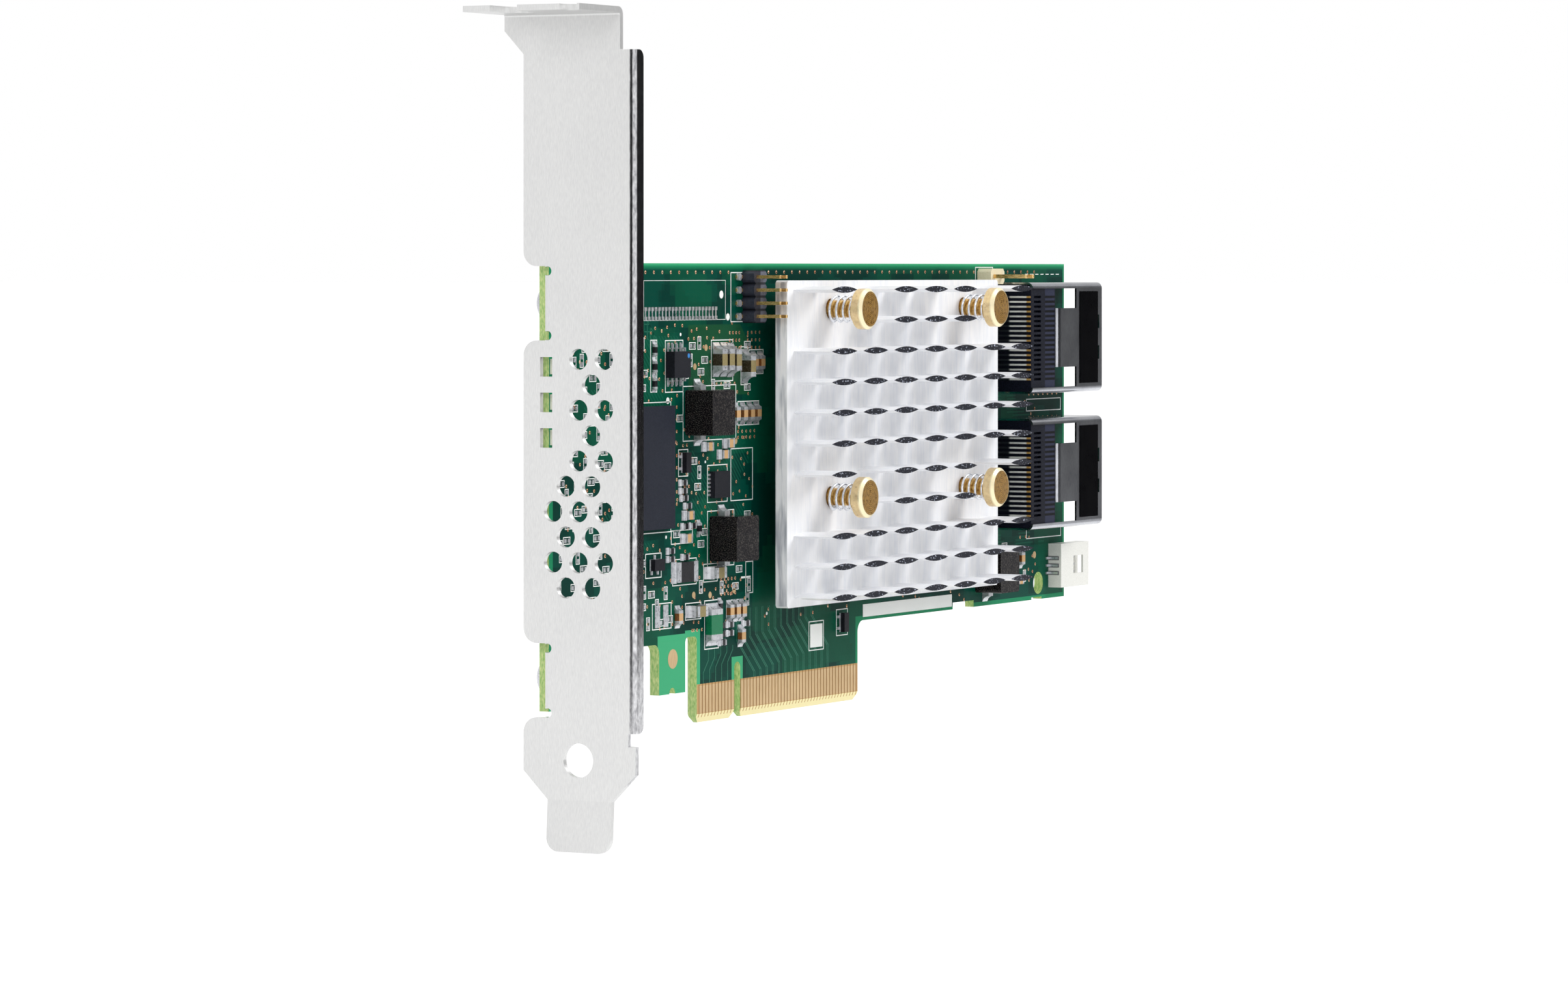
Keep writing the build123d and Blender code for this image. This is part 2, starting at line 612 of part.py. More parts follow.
def heatsink():
    """Aluminium base with a raised left border and lens-shaped fins standing off its face."""
    base = span(SINK_X, SINK_X + SINK_LENGTH, SINK_BACK, SINK_FRONT, SINK_BOTTOM, SINK_TOP)
    base = fillet(base.edges().filter_by(Axis.Y), SINK_CORNER)
    recess_x = SINK_X + SINK_BORDER
    base -= span(recess_x, SINK_X + SINK_LENGTH + OVERSHOOT, SINK_FRONT, SINK_FRONT + SINK_BORDER_STEP,
                 SINK_BOTTOM - OVERSHOOT, SINK_TOP + OVERSHOOT)
    root = Plane.XZ.offset(-(SINK_FRONT + 2 * SINK_BORDER_STEP))
    section = lens(FIN_LENGTH, FIN_THICKNESS)
    height = FIN_HEIGHT + 2 * SINK_BORDER_STEP
    fins = [extrude(root * (Pos(x, z) * section), height) for x, z in fin_spots()]
    base += fins
    for x, z in PIN_SPOTS:
        base -= Pos(x, SINK_FRONT, z) * Rot(X=90) * Cylinder(PIN_HOLE / 2, 3 * SINK_BASE)
    return base


def push_pin():
    """A turned brass pin: bevelled head, spring collar, shaft and split barb behind the board."""
    head_under = PIN_RISE - PIN_HEAD_THICKNESS
    barb_start = SINK_BORDER_STEP - SINK_BASE - SINK_STANDOFF - BOARD_THICKNESS
    tip = barb_start - BARB_LENGTH
    shaft, collar, head = PIN_SHAFT / 2, PIN_COLLAR / 2, PIN_HEAD / 2
    barb, collar_end = BARB_DIAMETER / 2, head_under - PIN_COLLAR_LENGTH
    profile = [
        (0, tip), (BARB_TIP / 2, tip), (barb, barb_start - BARB_STRAIGHT), (barb, barb_start),
        (shaft, barb_start), (shaft, collar_end), (collar, collar_end),
        (collar, head_under), (head, head_under), (head, PIN_RISE - PIN_HEAD_BEVEL),
        (head - PIN_HEAD_BEVEL, PIN_RISE), (0, PIN_RISE),
    ]
    pin = revolve(Plane.XZ * make_face(Polyline(*profile, close=True)), Axis.Z)
    slit_height = BARB_LENGTH + BOARD_THICKNESS
    return pin - Pos(0, 0, tip + slit_height / 2) * Box(2 * BARB_DIAMETER, PIN_SLIT, slit_height)


def on_sink(piece):
    """Copies of a piece drawn about Z, set on the heatsink's face at each push pin."""
    return [Pos(x, SINK_FRONT + SINK_BORDER_STEP, z) * Rot(X=90) * piece for x, z in PIN_SPOTS]


def spring():
    """An open coil spring between the heatsink and the pin's head, its round wire drawn with flats."""
    height = PIN_RISE - PIN_HEAD_THICKNESS - SPRING_WIRE
    radius = (SPRING_OUTSIDE - SPRING_WIRE) / 2
    steps = SPRING_STEPS * SPRING_TURNS
    turn = 2 * pi / SPRING_STEPS
    points = [(radius * cos(i * turn), radius * sin(i * turn), height * i / steps) for i in range(steps + 1)]
    path = Polyline(*points)
    section = Plane(path @ 0, z_dir=path % 0) * RegularPolygon(SPRING_WIRE / 2, SPRING_SIDES)
    coil = sweep(section, path, transition=Transition.RIGHT)
    return Pos(0, 0, SPRING_WIRE / 2) * coil


def centred(size, height, start=0.0):
    """A square block on the board under the middle of the heatsink."""
    x, z = SINK_CENTRE
    return raised(x - size / 2, z - size / 2, size, size, height, start)


def controller_chip():
    substrate = centred(CHIP_SIZE, CHIP_SUBSTRATE)
    return substrate + centred(CHIP_LID_SIZE, CHIP_HEIGHT - CHIP_SUBSTRATE, CHIP_SUBSTRATE)


def thermal_pad():
    return centred(CHIP_LID_SIZE, SINK_STANDOFF - CHIP_HEIGHT, CHIP_HEIGHT)


def port_contact_rows(centre):
    """The height of each contact in a port."""
    top = centre + (CONTACTS_PER_PORT - 1) * CONTACT_PITCH / 2
    return [top - i * CONTACT_PITCH for i in range(CONTACTS_PER_PORT)]


def port_housing(centre):
    """The moulded block that holds the contacts, with its comb of slots and the card slot in its face."""
    half = PORT_WIDTH / 2 - PORT_SHEET - PORT_CLEARANCE
    top = PORT_HEIGHT - PORT_SHEET - PORT_CLEARANCE
    body = raised(PORT_BACK, centre - half, HOUSING_DEPTH, 2 * half, top)
    body = fillet(upper_edges(body), CAGE_CORNER - PORT_SHEET)
    slot_x, slot_z = HOUSING_FRONT - BLADE_SLOT_DEPTH, centre - BLADE_SLOT_WIDTH / 2
    body -= raised(slot_x, slot_z, BLADE_SLOT_DEPTH + OVERSHOOT, BLADE_SLOT_WIDTH, BLADE_SLOT_HEIGHT,
                   (PORT_HEIGHT - BLADE_SLOT_HEIGHT) / 2)
    comb_x = PORT_BACK + COMB_FROM_BACK
    for z in port_contact_rows(centre):
        low = z - CONTACT_PITCH / 4
        body -= raised(comb_x, low, COMB_LENGTH, CONTACT_PITCH / 2, 2 * COMB_DEPTH, top - COMB_DEPTH)
    return body


def port_contacts(centre):
    """Bent blades behind the housing, each with a soldered foot on the board."""
    points = [(0, 0), (-CONTACT_FOOT, 0), (-CONTACT_FOOT, CONTACT_THICKNESS),
              (-CONTACT_THICKNESS, CONTACT_THICKNESS), (-CONTACT_THICKNESS, CONTACT_TOP), (0, CONTACT_TOP)]
    blade = extrude(make_face(Polyline(*points, close=True)), CONTACT_WIDTH / 2, both=True)
    return [Pos(PORT_BACK, COMPONENT_FACE, z) * Rot(X=180) * blade for z in port_contact_rows(centre)]


def upper_edges(block):
    """The two long edges of a port's block that are farthest from the board."""
    return [e for e in block.edges().filter_by(Axis.X) if e.center().Y < COMPONENT_FACE - PORT_HEIGHT / 2]


def port_shield(centre):
    """Folded sheet shield: two side walls, a band round the mouth and a strap over the gap."""
    half = PORT_WIDTH / 2
    outer = raised(PORT_BACK, centre - half, PORT_DEPTH, PORT_WIDTH, PORT_HEIGHT)
    outer = fillet(upper_edges(outer), CAGE_CORNER)
    inside = 2 * (half - PORT_SHEET)
    inner = raised(PORT_BACK - OVERSHOOT, centre - half + PORT_SHEET, PORT_DEPTH + 2 * OVERSHOOT, inside,
                   PORT_HEIGHT - PORT_SHEET)
    inner = fillet(upper_edges(inner), CAGE_CORNER - PORT_SHEET)
    shell = outer - inner
    band_x = BOARD_RIGHT - BAND_DEPTH
    gap = inside - 2 * CAGE_CORNER + 2 * PORT_SHEET
    open_length = band_x - PORT_BACK + OVERSHOOT
    shell -= raised(PORT_BACK - OVERSHOOT, centre - gap / 2, open_length, gap, PORT_HEIGHT)
    for side in (-1, 1):
        z = centre + side * LATCH_WINDOW_SPREAD / 2 - LATCH_WINDOW_LENGTH / 2
        shell -= raised(LATCH_WINDOW_X, z, LATCH_WINDOW_WIDTH, LATCH_WINDOW_LENGTH, PORT_HEIGHT)
    return shell + port_strap(centre, band_x)


def port_strap(centre, band_x):
    """The strap from the band back to the housing, its end curled down towards the board."""
    top = PORT_HEIGHT
    flat = [(band_x + PORT_SHEET, top), (band_x + PORT_SHEET, top - PORT_SHEET)]
    end = band_x - STRAP_LENGTH + STRAP_CURL + PORT_SHEET
    outer, inner = STRAP_CURL + PORT_SHEET, STRAP_CURL
    centre_v = top - outer
    edge = [
        Line(flat[0], (end, top)),
        CenterArc((end, centre_v), outer, 90, 90),
        Line((end - outer, centre_v), (end - outer, centre_v - STRAP_DROP)),
        Line((end - outer, centre_v - STRAP_DROP), (end - inner, centre_v - STRAP_DROP)),
        Line((end - inner, centre_v - STRAP_DROP), (end - inner, centre_v)),
        CenterArc((end, centre_v), inner, 180, -90),
        Line((end, top - PORT_SHEET), flat[1]),
        Line(flat[1], flat[0]),
    ]
    strap = extrude(make_face(Wire(edge)), STRAP_WIDTH / 2, both=True)
    return Pos(0, COMPONENT_FACE, centre) * Rot(X=180) * strap


def port_label(centre):
    """A thin plate on the shield's band."""
    x = BOARD_RIGHT - LABEL_FROM_MOUTH - LABEL_LENGTH
    length = LATCH_WINDOW_X - PORT_CLEARANCE - x
    return raised(x, centre - LABEL_WIDTH / 2, length, LABEL_WIDTH, LABEL_THICKNESS, PORT_HEIGHT)


def wire_connector():
    """White side-entry housing, open at its outer end and windowed on its face."""
    z = WIRE_Z - WIRE_WIDTH / 2
    body = raised(WIRE_X, z, WIRE_LENGTH, WIRE_WIDTH, WIRE_HEIGHT)
    mouth = WIRE_X + WIRE_LENGTH
    wall = WIRE_WALL
    body -= raised(mouth - WIRE_MOUTH_DEPTH, z + wall, WIRE_MOUTH_DEPTH + OVERSHOOT, WIRE_WIDTH - 2 * wall,
                   WIRE_HEIGHT - 2 * wall, wall)
    window_x = mouth - WIRE_WINDOW_FROM_MOUTH - WIRE_WINDOW[0]
    through = 3 * WIRE_HEIGHT
    body -= raised(window_x, WIRE_Z - WIRE_WINDOW[1] / 2, WIRE_WINDOW[0], WIRE_WINDOW[1], through, -WIRE_HEIGHT)
    return body


def wire_rows():
    return [WIRE_Z + (i - (WIRE_CONTACTS - 1) / 2) * WIRE_PITCH for i in range(WIRE_CONTACTS)]


def wire_contacts():
    """Solder tails behind the white housing and blades inside it."""
    half = WIRE_CONTACT_WIDTH / 2
    inner = WIRE_X + WIRE_LENGTH - WIRE_MOUTH_DEPTH
    blade_low = (WIRE_HEIGHT - WIRE_CONTACT_WIDTH) / 2
    tails = [raised(WIRE_X - WIRE_TAIL, z - half, WIRE_TAIL, 2 * half, half) for z in wire_rows()]
    blades = [raised(inner, z - half, WIRE_MOUTH_DEPTH / 2, 2 * half, 2 * half, blade_low) for z in wire_rows()]
    return tails + blades


def octagon_segment(length, tall, notch, height):
    """One segment of a header body: a block with its four upright corners cut off."""
    block = raised(0, 0, length, tall, height)
    return chamfer(block.edges().filter_by(Axis.Y), notch)


def cable_header():
    """Black header body in four segments that share one moulding."""
    pitch = CABLE_HEADER_PITCH
    body = None
    for i in range(CABLE_HEADER_ROWS):
        z = CABLE_HEADER_TOP_Z - (i + 1) * pitch
        segment = octagon_segment(2 * pitch, pitch, CABLE_HEADER_CHAMFER, CABLE_HEADER_BODY)
        segment = Pos(CABLE_HEADER_LEFT, 0, z) * segment
        body = segment if body is None else body + segment
    for x, z in cable_pin_spots():
        body -= square_pin(x, z, CABLE_PIN_WIDTH, 0, CABLE_HEADER_REACH)
    return body


def cable_pin_spots():
    pitch = CABLE_HEADER_PITCH
    rows = [CABLE_HEADER_TOP_Z - (i + 0.5) * pitch for i in range(CABLE_HEADER_ROWS)]
    return [(CABLE_HEADER_LEFT + (j + 0.5) * pitch, z) for z in rows for j in range(2)]


def square_pin(x, z, width, start, reach):
    return raised(x - width / 2, z - width / 2, width, width, reach - start, start)


def cable_header_pins():
    """Square gold pins, each bent to a foot beside the body."""
    pins = []
    foot = CABLE_PIN_WIDTH / 2
    for x, z in cable_pin_spots():
        outward = -1 if x < CABLE_HEADER_LEFT + CABLE_HEADER_PITCH else 1
        pin = square_pin(x, z, CABLE_PIN_WIDTH, 0, CABLE_HEADER_REACH)
        pin = chamfer(pin.faces().sort_by(Axis.Y)[0].edges(), foot / 2)
        pins.append(pin)
        edge = CABLE_HEADER_LEFT if outward < 0 else CABLE_HEADER_LEFT + 2 * CABLE_HEADER_PITCH
        start = edge - HEADER_FOOT if outward < 0 else edge
        pins.append(raised(start, z - foot, HEADER_FOOT, 2 * foot, foot))
    return pins


def jumper_spots():
    return [(JUMPER_LEFT + (j + 0.5) * JUMPER_PITCH, JUMPER_Z) for j in range(2)]


def jumper_header():
    body = raised(JUMPER_LEFT, JUMPER_Z - JUMPER_PITCH / 2, 2 * JUMPER_PITCH, JUMPER_PITCH, JUMPER_BODY)
    body = chamfer(body.edges().filter_by(Axis.Y), CABLE_HEADER_CHAMFER)
    for x, z in jumper_spots():
        body -= square_pin(x, z, JUMPER_PIN_WIDTH, 0, JUMPER_REACH)
    return body


def jumper_pins():
    pins = [square_pin(x, z, JUMPER_PIN_WIDTH, 0, JUMPER_REACH) for x, z in jumper_spots()]
    return [chamfer(pin.faces().sort_by(Axis.Y)[0].edges(), JUMPER_PIN_WIDTH / 4) for pin in pins]


def flat_chip(chip):
    x, z, length, tall, height = chip
    return raised(x, z, length, tall, height)


def serial_leads():
    """Gull-wing leads on the two long sides of the small chip."""
    x, z, length, tall, height = SERIAL_CHIP
    first = x + (length - (SERIAL_LEADS - 1) * LEAD_PITCH) / 2
    t, mid = LEAD_THICKNESS, height / 2
    points = [(0, mid + t / 2), (LEAD_REACH / 3 + t, mid + t / 2), (LEAD_REACH / 3 + t, t), (LEAD_REACH, t),
              (LEAD_REACH, 0), (LEAD_REACH / 3, 0), (LEAD_REACH / 3, mid - t / 2), (0, mid - t / 2)]
    lead = extrude(make_face(Polyline(*points, close=True)), LEAD_WIDTH / 2, both=True)
    leads = []
    for i in range(SERIAL_LEADS):
        at = first + i * LEAD_PITCH
        for side, edge in ((1, z + tall), (-1, z)):
            turned = Plane(origin=(at, COMPONENT_FACE, edge), x_dir=(0, 0, side), z_dir=(side, 0, 0))
            leads.append(turned * lead)
    return leads


def transistors():
    """Three-leg packages: a body on stubby legs."""
    pieces = []
    for x, z, length, tall in TRANSISTORS:
        stub = LEAD_THICKNESS
        body = raised(x, z, length, tall, TRANSISTOR_HEIGHT - stub / 2, stub / 2)
        along_z = tall > length
        for share, side in TRANSISTOR_LEGS:
            if along_z:
                leg_x = x - TRANSISTOR_GULL if side == 0 else x + length
                body += raised(leg_x, z + share * tall - LEAD_WIDTH / 2, TRANSISTOR_GULL, LEAD_WIDTH, stub)
            else:
                leg_z = z - TRANSISTOR_GULL if side == 0 else z + tall
                body += raised(x + share * length - LEAD_WIDTH / 2, leg_z, LEAD_WIDTH, TRANSISTOR_GULL, stub)
        pieces.append(body)
    return pieces


def inductors():
    bodies = []
    for x, z in INDUCTOR_SPOTS:
        body = raised(x, z, INDUCTOR_LENGTH, INDUCTOR_SIZE, INDUCTOR_HEIGHT)
        bodies.append(fillet(body.edges().filter_by(Axis.Y), INDUCTOR_HEIGHT / 8))
    return bodies


def inductor_feet():
    """Tinned straps that come out at the top and bottom of each inductor."""
    feet = []
    for x, z in INDUCTOR_SPOTS:
        left = x + (INDUCTOR_LENGTH - INDUCTOR_FOOT) / 2
        for low in (z - INDUCTOR_FOOT_REACH, z + INDUCTOR_SIZE):
            feet.append(raised(left, low, INDUCTOR_FOOT, INDUCTOR_FOOT_REACH, INDUCTOR_HEIGHT / 4))
    return feet


def two_ended(spots, size, along):
    """Bodies and metal ends of small parts, long side along X or along Z."""
    length, width, height = size
    end = length * END_SHARE / 2
    bodies, ends = [], []
    for x, z in spots:
        if along:
            bodies.append(raised(x - length / 2 + end, z - width / 2, length - 2 * end, width, height))
            ends.append(raised(x - length / 2, z - width / 2, end, width, height))
            ends.append(raised(x + length / 2 - end, z - width / 2, end, width, height))
        else:
            bodies.append(raised(x - width / 2, z - length / 2 + end, width, length - 2 * end, height))
            ends.append(raised(x - width / 2, z - length / 2, width, end, height))
            ends.append(raised(x - width / 2, z + length / 2 - end, width, end, height))
    return bodies, ends


def from_end(spots):
    """Places given from the board's end, as places along X."""
    return tuple((BOARD_RIGHT - distance, z) for distance, z in spots)


def capped_chip(chip, share):
    """A two-ended part given by its corner and size: its body and its two metal ends."""
    x, z, length, tall, height = chip
    if length > tall:
        end = length * share
        body = raised(x + end, z, length - 2 * end, tall, height)
        return body, [raised(x, z, end, tall, height), raised(x + length - end, z, end, tall, height)]
    end = tall * share
    body = raised(x, z + end, length, tall - 2 * end, height)
    return body, [raised(x, z, length, end, height), raised(x, z + tall - end, length, end, height)]


def status_leds():
    """Side-view lights at the board's end, one behind each window of the bracket."""
    length, height, tall = LED_SIZE
    x = BOARD_LEFT + LED_BACK
    return [raised(x, LED_TOP_Z - i * LED_PITCH - tall / 2, length, tall, height) for i in range(LED_COUNT)]


def main():
    save("circuit_board", circuit_board())
    save("edge_contacts", edge_contacts())
    save("mounting_bracket", mounting_bracket())
    save("bracket_screws", bracket_screws())
    save("heatsink", heatsink())
    save("heatsink_push_pins", on_sink(push_pin()))
    save("push_pin_springs", on_sink(spring()))
    save("controller_chip", controller_chip())
    save("thermal_pad", thermal_pad())
    for number, centre in enumerate(PORT_CENTRES, 1):
        save(f"port_{number}_housing", port_housing(centre))
        save(f"port_{number}_contacts", port_contacts(centre))
        save(f"port_{number}_shield", port_shield(centre))
        save(f"port_{number}_label", port_label(centre))
    save("wire_connector", wire_connector())
    save("wire_connector_contacts", wire_contacts())
    save("cable_header", cable_header())
    save("cable_header_pins", cable_header_pins())
    save("jumper_header", jumper_header())
    save("jumper_pins", jumper_pins())
    save("memory_chip", flat_chip(MEMORY_CHIP))
    save("serial_chip", flat_chip(SERIAL_CHIP))
    save("serial_chip_leads", serial_leads())
    save("regulator_chip", flat_chip(REGULATOR_CHIP))
    save("transistors", transistors())
    save("inductors", inductors())
    save("inductor_feet", inductor_feet())
    fuse, fuse_ends = capped_chip(FUSE, FUSE_END_SHARE)
    save("fuse", fuse)
    save("fuse_ends", fuse_ends)
    sense, sense_ends = capped_chip(SENSE_RESISTOR, SENSE_END_SHARE)
    save("sense_resistor", sense)
    save("sense_resistor_ends", sense_ends)
    large = [two_ended(LARGE_ACROSS, CAPACITOR_LARGE, False), two_ended(LARGE_ALONG, CAPACITOR_LARGE, True)]
    small = [two_ended(SMALL_ACROSS + from_end(END_SMALL_ACROSS), CAPACITOR_SMALL, False),
             two_ended(SMALL_ALONG + from_end(END_SMALL_ALONG), CAPACITOR_SMALL, True)]
    chips = [two_ended(RESISTORS_ACROSS, RESISTOR_SMALL, False),
             two_ended(RESISTORS_ALONG, RESISTOR_SMALL, True)]
    save("large_capacitors", [body for bodies, ends in large for body in bodies])
    save("large_capacitor_ends", [end for bodies, ends in large for end in ends])
    save("small_capacitors", [body for bodies, ends in small for body in bodies])
    save("small_capacitor_ends", [end for bodies, ends in small for end in ends])
    save("chip_resistors", [body for bodies, ends in chips for body in bodies])
    save("chip_resistor_ends", [end for bodies, ends in chips for end in ends])
    save("status_leds", status_leds())


main()
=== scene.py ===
# %% [markdown]
# A storage controller card, dressed for a studio picture.
# The card's solids come from CAD and stay exactly where they are. This script gives each one a finish,
# adds the fine things that a solid model leaves out, such as ink, solder and coil wire, and lights it all.

# %% Load the card
import math

import bmesh
import bpy
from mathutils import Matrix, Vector


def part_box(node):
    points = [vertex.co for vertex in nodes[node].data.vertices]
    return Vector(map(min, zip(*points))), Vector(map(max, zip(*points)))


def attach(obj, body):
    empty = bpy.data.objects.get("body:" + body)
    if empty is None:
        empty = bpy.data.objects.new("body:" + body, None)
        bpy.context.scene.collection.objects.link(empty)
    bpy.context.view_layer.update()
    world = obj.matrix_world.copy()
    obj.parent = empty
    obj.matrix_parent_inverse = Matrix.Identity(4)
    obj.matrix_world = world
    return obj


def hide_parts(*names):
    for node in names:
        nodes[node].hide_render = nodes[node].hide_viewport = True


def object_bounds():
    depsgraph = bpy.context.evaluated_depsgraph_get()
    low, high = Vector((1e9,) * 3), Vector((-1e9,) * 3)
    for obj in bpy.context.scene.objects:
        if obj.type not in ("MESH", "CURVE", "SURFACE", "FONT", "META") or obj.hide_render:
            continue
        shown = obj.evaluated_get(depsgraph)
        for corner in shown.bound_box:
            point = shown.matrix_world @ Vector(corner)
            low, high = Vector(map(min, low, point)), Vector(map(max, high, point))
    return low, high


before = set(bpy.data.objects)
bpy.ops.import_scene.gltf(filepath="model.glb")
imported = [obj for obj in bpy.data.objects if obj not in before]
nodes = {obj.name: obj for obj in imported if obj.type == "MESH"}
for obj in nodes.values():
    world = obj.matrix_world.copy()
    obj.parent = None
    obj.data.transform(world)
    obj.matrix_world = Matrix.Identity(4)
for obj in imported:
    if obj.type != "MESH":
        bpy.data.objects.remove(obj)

card_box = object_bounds()
print("nodes:", len(nodes))

# %% [markdown]
# FACE is the depth of the component side, which looks towards -Y, and BACK is the other side.

# %% Millimetres
MM = 0.001


def box_mm(node):
    """Lowest and highest corner of a CAD node, in millimetres."""
    return [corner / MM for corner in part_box(node)]


FACE, BACK = (corner.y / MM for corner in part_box("circuit_board"))
print("component face at", round(FACE, 3), "and back at", round(BACK, 3))

# %% [markdown]
# The card stands upright and the camera looks at it from the bracket's end, level with its upper part.
# A camera that stays level keeps upright edges upright, and a lens shift brings the card back into
# the picture, as a view camera does.

# %% Camera
LENS, SENSOR = 128.2, 36.0
EYE = Vector((-743.25, -407.58, 67.78)) * MM
HEADING = 0.4924
SHIFT_DOWN = -0.1424


def put(name, data):
    """A new object in the scene."""
    thing = bpy.data.objects.new(name, data)
    bpy.context.scene.collection.objects.link(thing)
    return thing


lens = bpy.data.cameras.new("camera")
lens.lens = LENS
lens.sensor_width = SENSOR
lens.shift_y = SHIFT_DOWN
camera = put("camera", lens)
camera.location = EYE
camera.rotation_euler = (math.radians(90), 0.0, HEADING - math.radians(90))
bpy.context.scene.camera = camera
print("camera", tuple(round(v, 3) for v in EYE))

# %% [markdown]
# Shader patterns are easier to read as sums than as wires. `Value` wraps one socket, so that adding or
# comparing two of them adds the Math node for it. `Bench` adds any other node in one call.

# %% Node helpers
def math_sign(operation):
    """An arithmetic sign: it adds the Math node of its operation."""
    return lambda self, *others: self.bench.math(operation, self, *others)


class Value:
    """One socket, usable in arithmetic."""

    __add__ = __radd__ = math_sign("ADD")
    __mul__ = __rmul__ = math_sign("MULTIPLY")
    __sub__, __truediv__ = math_sign("SUBTRACT"), math_sign("DIVIDE")
    __gt__, __lt__ = math_sign("GREATER_THAN"), math_sign("LESS_THAN")
    __abs__ = math_sign("ABSOLUTE")

    def __init__(self, bench, node, socket):
        self.bench, self.node, self.socket = bench, node, socket

    def __getitem__(self, name):
        return Value(self.bench, self.node, self.node.outputs[name])

    def __rsub__(self, other):
        return self.bench.math("SUBTRACT", other, self)


class Bench:
    """A node tree that is being written."""

    def __init__(self, tree):
        self.tree = tree

    def add(self, kind, inputs=None, output=0, **settings):
        """A new node. A Value is linked to its input, and anything else is typed in."""
        node = self.tree.nodes.new(kind)
        for key, value in settings.items():
            setattr(node, key, value)
        for key, value in (inputs or {}).items():
            if isinstance(value, Value):
                self.tree.links.new(value.socket, node.inputs[key])
            else:
                node.inputs[key].default_value = value
        socket = node.outputs[output] if len(node.outputs) else None
        return Value(self, node, socket)

    def math(self, operation, *values):
        return self.add("ShaderNodeMath", dict(enumerate(values)), operation=operation)

    def most(self, highest, *others):
        """The highest of some values."""
        for other in others:
            highest = self.math("MAXIMUM", highest, other)
        return highest

    def seen(self):
        """1 for a ray that looks at something, and 0 for one that only gathers light."""
        rays = self.add("ShaderNodeLightPath")
        return self.most(rays["Is Camera Ray"], rays["Is Glossy Ray"], rays["Is Transmission Ray"])


def paint(colour):
    """A colour as a screen shows it, 0 to 255, made linear. A Value stays as it is."""
    if isinstance(colour, Value):
        return colour
    parts = [c / 255 for c in colour]
    return tuple(c / 12.92 if c <= 0.04045 else ((c + 0.055) / 1.055) ** 2.4 for c in parts) + (1.0,)


print("mid grey is", round(paint((128, 128, 128))[0], 3), "in linear light")

# %% [markdown]
# A `Finish` is one material. It measures the object in millimetres, so that a grain of 0.2 means 0.2 mm.
# Only colour, roughness, metal and bump vary over a surface. Everything else is a plain number on the shader.

# %% Finish
COLOUR_LOW, COLOUR_HIGH, COLOUR_RESULT = 6, 7, 2
FAR = 999.0


class Finish(Bench):
    """One material, with its place and the way that a face points at hand."""

    def __init__(self, name):
        self.material = bpy.data.materials.new(name)
        self.material.use_nodes = True
        super().__init__(self.material.node_tree)
        self.shader = self.tree.nodes["Principled BSDF"]
        place = self.add("ShaderNodeTexCoord")["Object"]
        self.mm = self.add("ShaderNodeVectorMath", {0: place, "Scale": 1.0 / MM}, operation="SCALE")
        split = self.add("ShaderNodeSeparateXYZ", {0: self.mm})
        self.x, self.y, self.z = split["X"], split["Y"], split["Z"]
        normal = self.add("ShaderNodeNewGeometry")["Normal"]
        facing = self.add("ShaderNodeSeparateXYZ", {0: normal})
        self.nx, self.ny, self.nz = facing["X"], facing["Y"], facing["Z"]

    def mix(self, mask, low, high):
        """One colour where the mask is 0 and the other where it is 1."""
        inputs = {0: mask, COLOUR_LOW: paint(low), COLOUR_HIGH: paint(high)}
        return self.add("ShaderNodeMix", inputs, COLOUR_RESULT, data_type="RGBA")

    def noise(self, size, detail=2.0, stretch=(1, 1, 1), snap=0.0):
        """Clouds of a given size in millimetres. A snap gives them square edges."""
        at = self.mm
        if snap:
            at = self.add("ShaderNodeVectorMath", {0: at, 1: (snap, snap, snap)}, operation="SNAP")
        at = self.add("ShaderNodeVectorMath", {0: at, 1: stretch}, operation="DIVIDE")
        return self.add("ShaderNodeTexNoise", {"Vector": at, "Scale": 1.0 / size, "Detail": detail})

    def over(self, value, low, high):
        """0 below low, 1 above high, and even in between."""
        return self.add("ShaderNodeMapRange", {"Value": value, "From Min": low, "From Max": high})

    def within(self, value, low, high):
        """1 between low and high, and 0 elsewhere."""
        return (value > low) * (value < high)

    def zone(self, x0, x1, z0, z1):
        """1 inside an upright rectangle of the board. FAR leaves a side of it open."""
        return self.within(self.x, x0, x1) * self.within(self.z, z0, z1)

    def stripes(self, value, pitch, share):
        """1 on the first share of every pitch."""
        return self.math("FRACT", value / pitch) < share

    def away_from(self, x, z):
        """Distance in X and Z from an upright point of the board, in millimetres."""
        dx, dz = self.x - x, self.z - z
        return self.math("SQRT", dx * dx + dz * dz)

    def uneven(self, mask, middle, swing):
        """A value that wanders by a swing to both sides of its middle."""
        return mask * (2 * swing) + (middle - swing)

    def done(self, colour, rough, metal=0.0, bump=None, depth=0.05, shine=0.5, coat=0.0):
        """Plug in what varies, type in what doesn't, and hand over the material."""
        given = {"Base Color": paint(colour), "Roughness": rough, "Metallic": metal,
                 "Specular IOR Level": shine, "Coat Weight": coat}
        if bump is not None:
            given["Normal"] = self.add("ShaderNodeBump", {"Height": bump, "Distance": depth * MM})
        for key, value in given.items():
            if isinstance(value, Value):
                self.tree.links.new(value.socket, self.shader.inputs[key])
            else:
                self.shader.inputs[key].default_value = value
        print("finish:", self.material.name)
        return self.material


def wear(node, material):
    """Give a CAD node its finish."""
    nodes[node].material_slots[0].material = material


print("nodes to finish:", len(nodes))

# %% [markdown]
# Moulded and metal parts share two recipes. Plastic has a fine speckle and a little unevenness in its
# gloss. Sheet metal has a grain that runs one way, which noise stretched along that way gives.

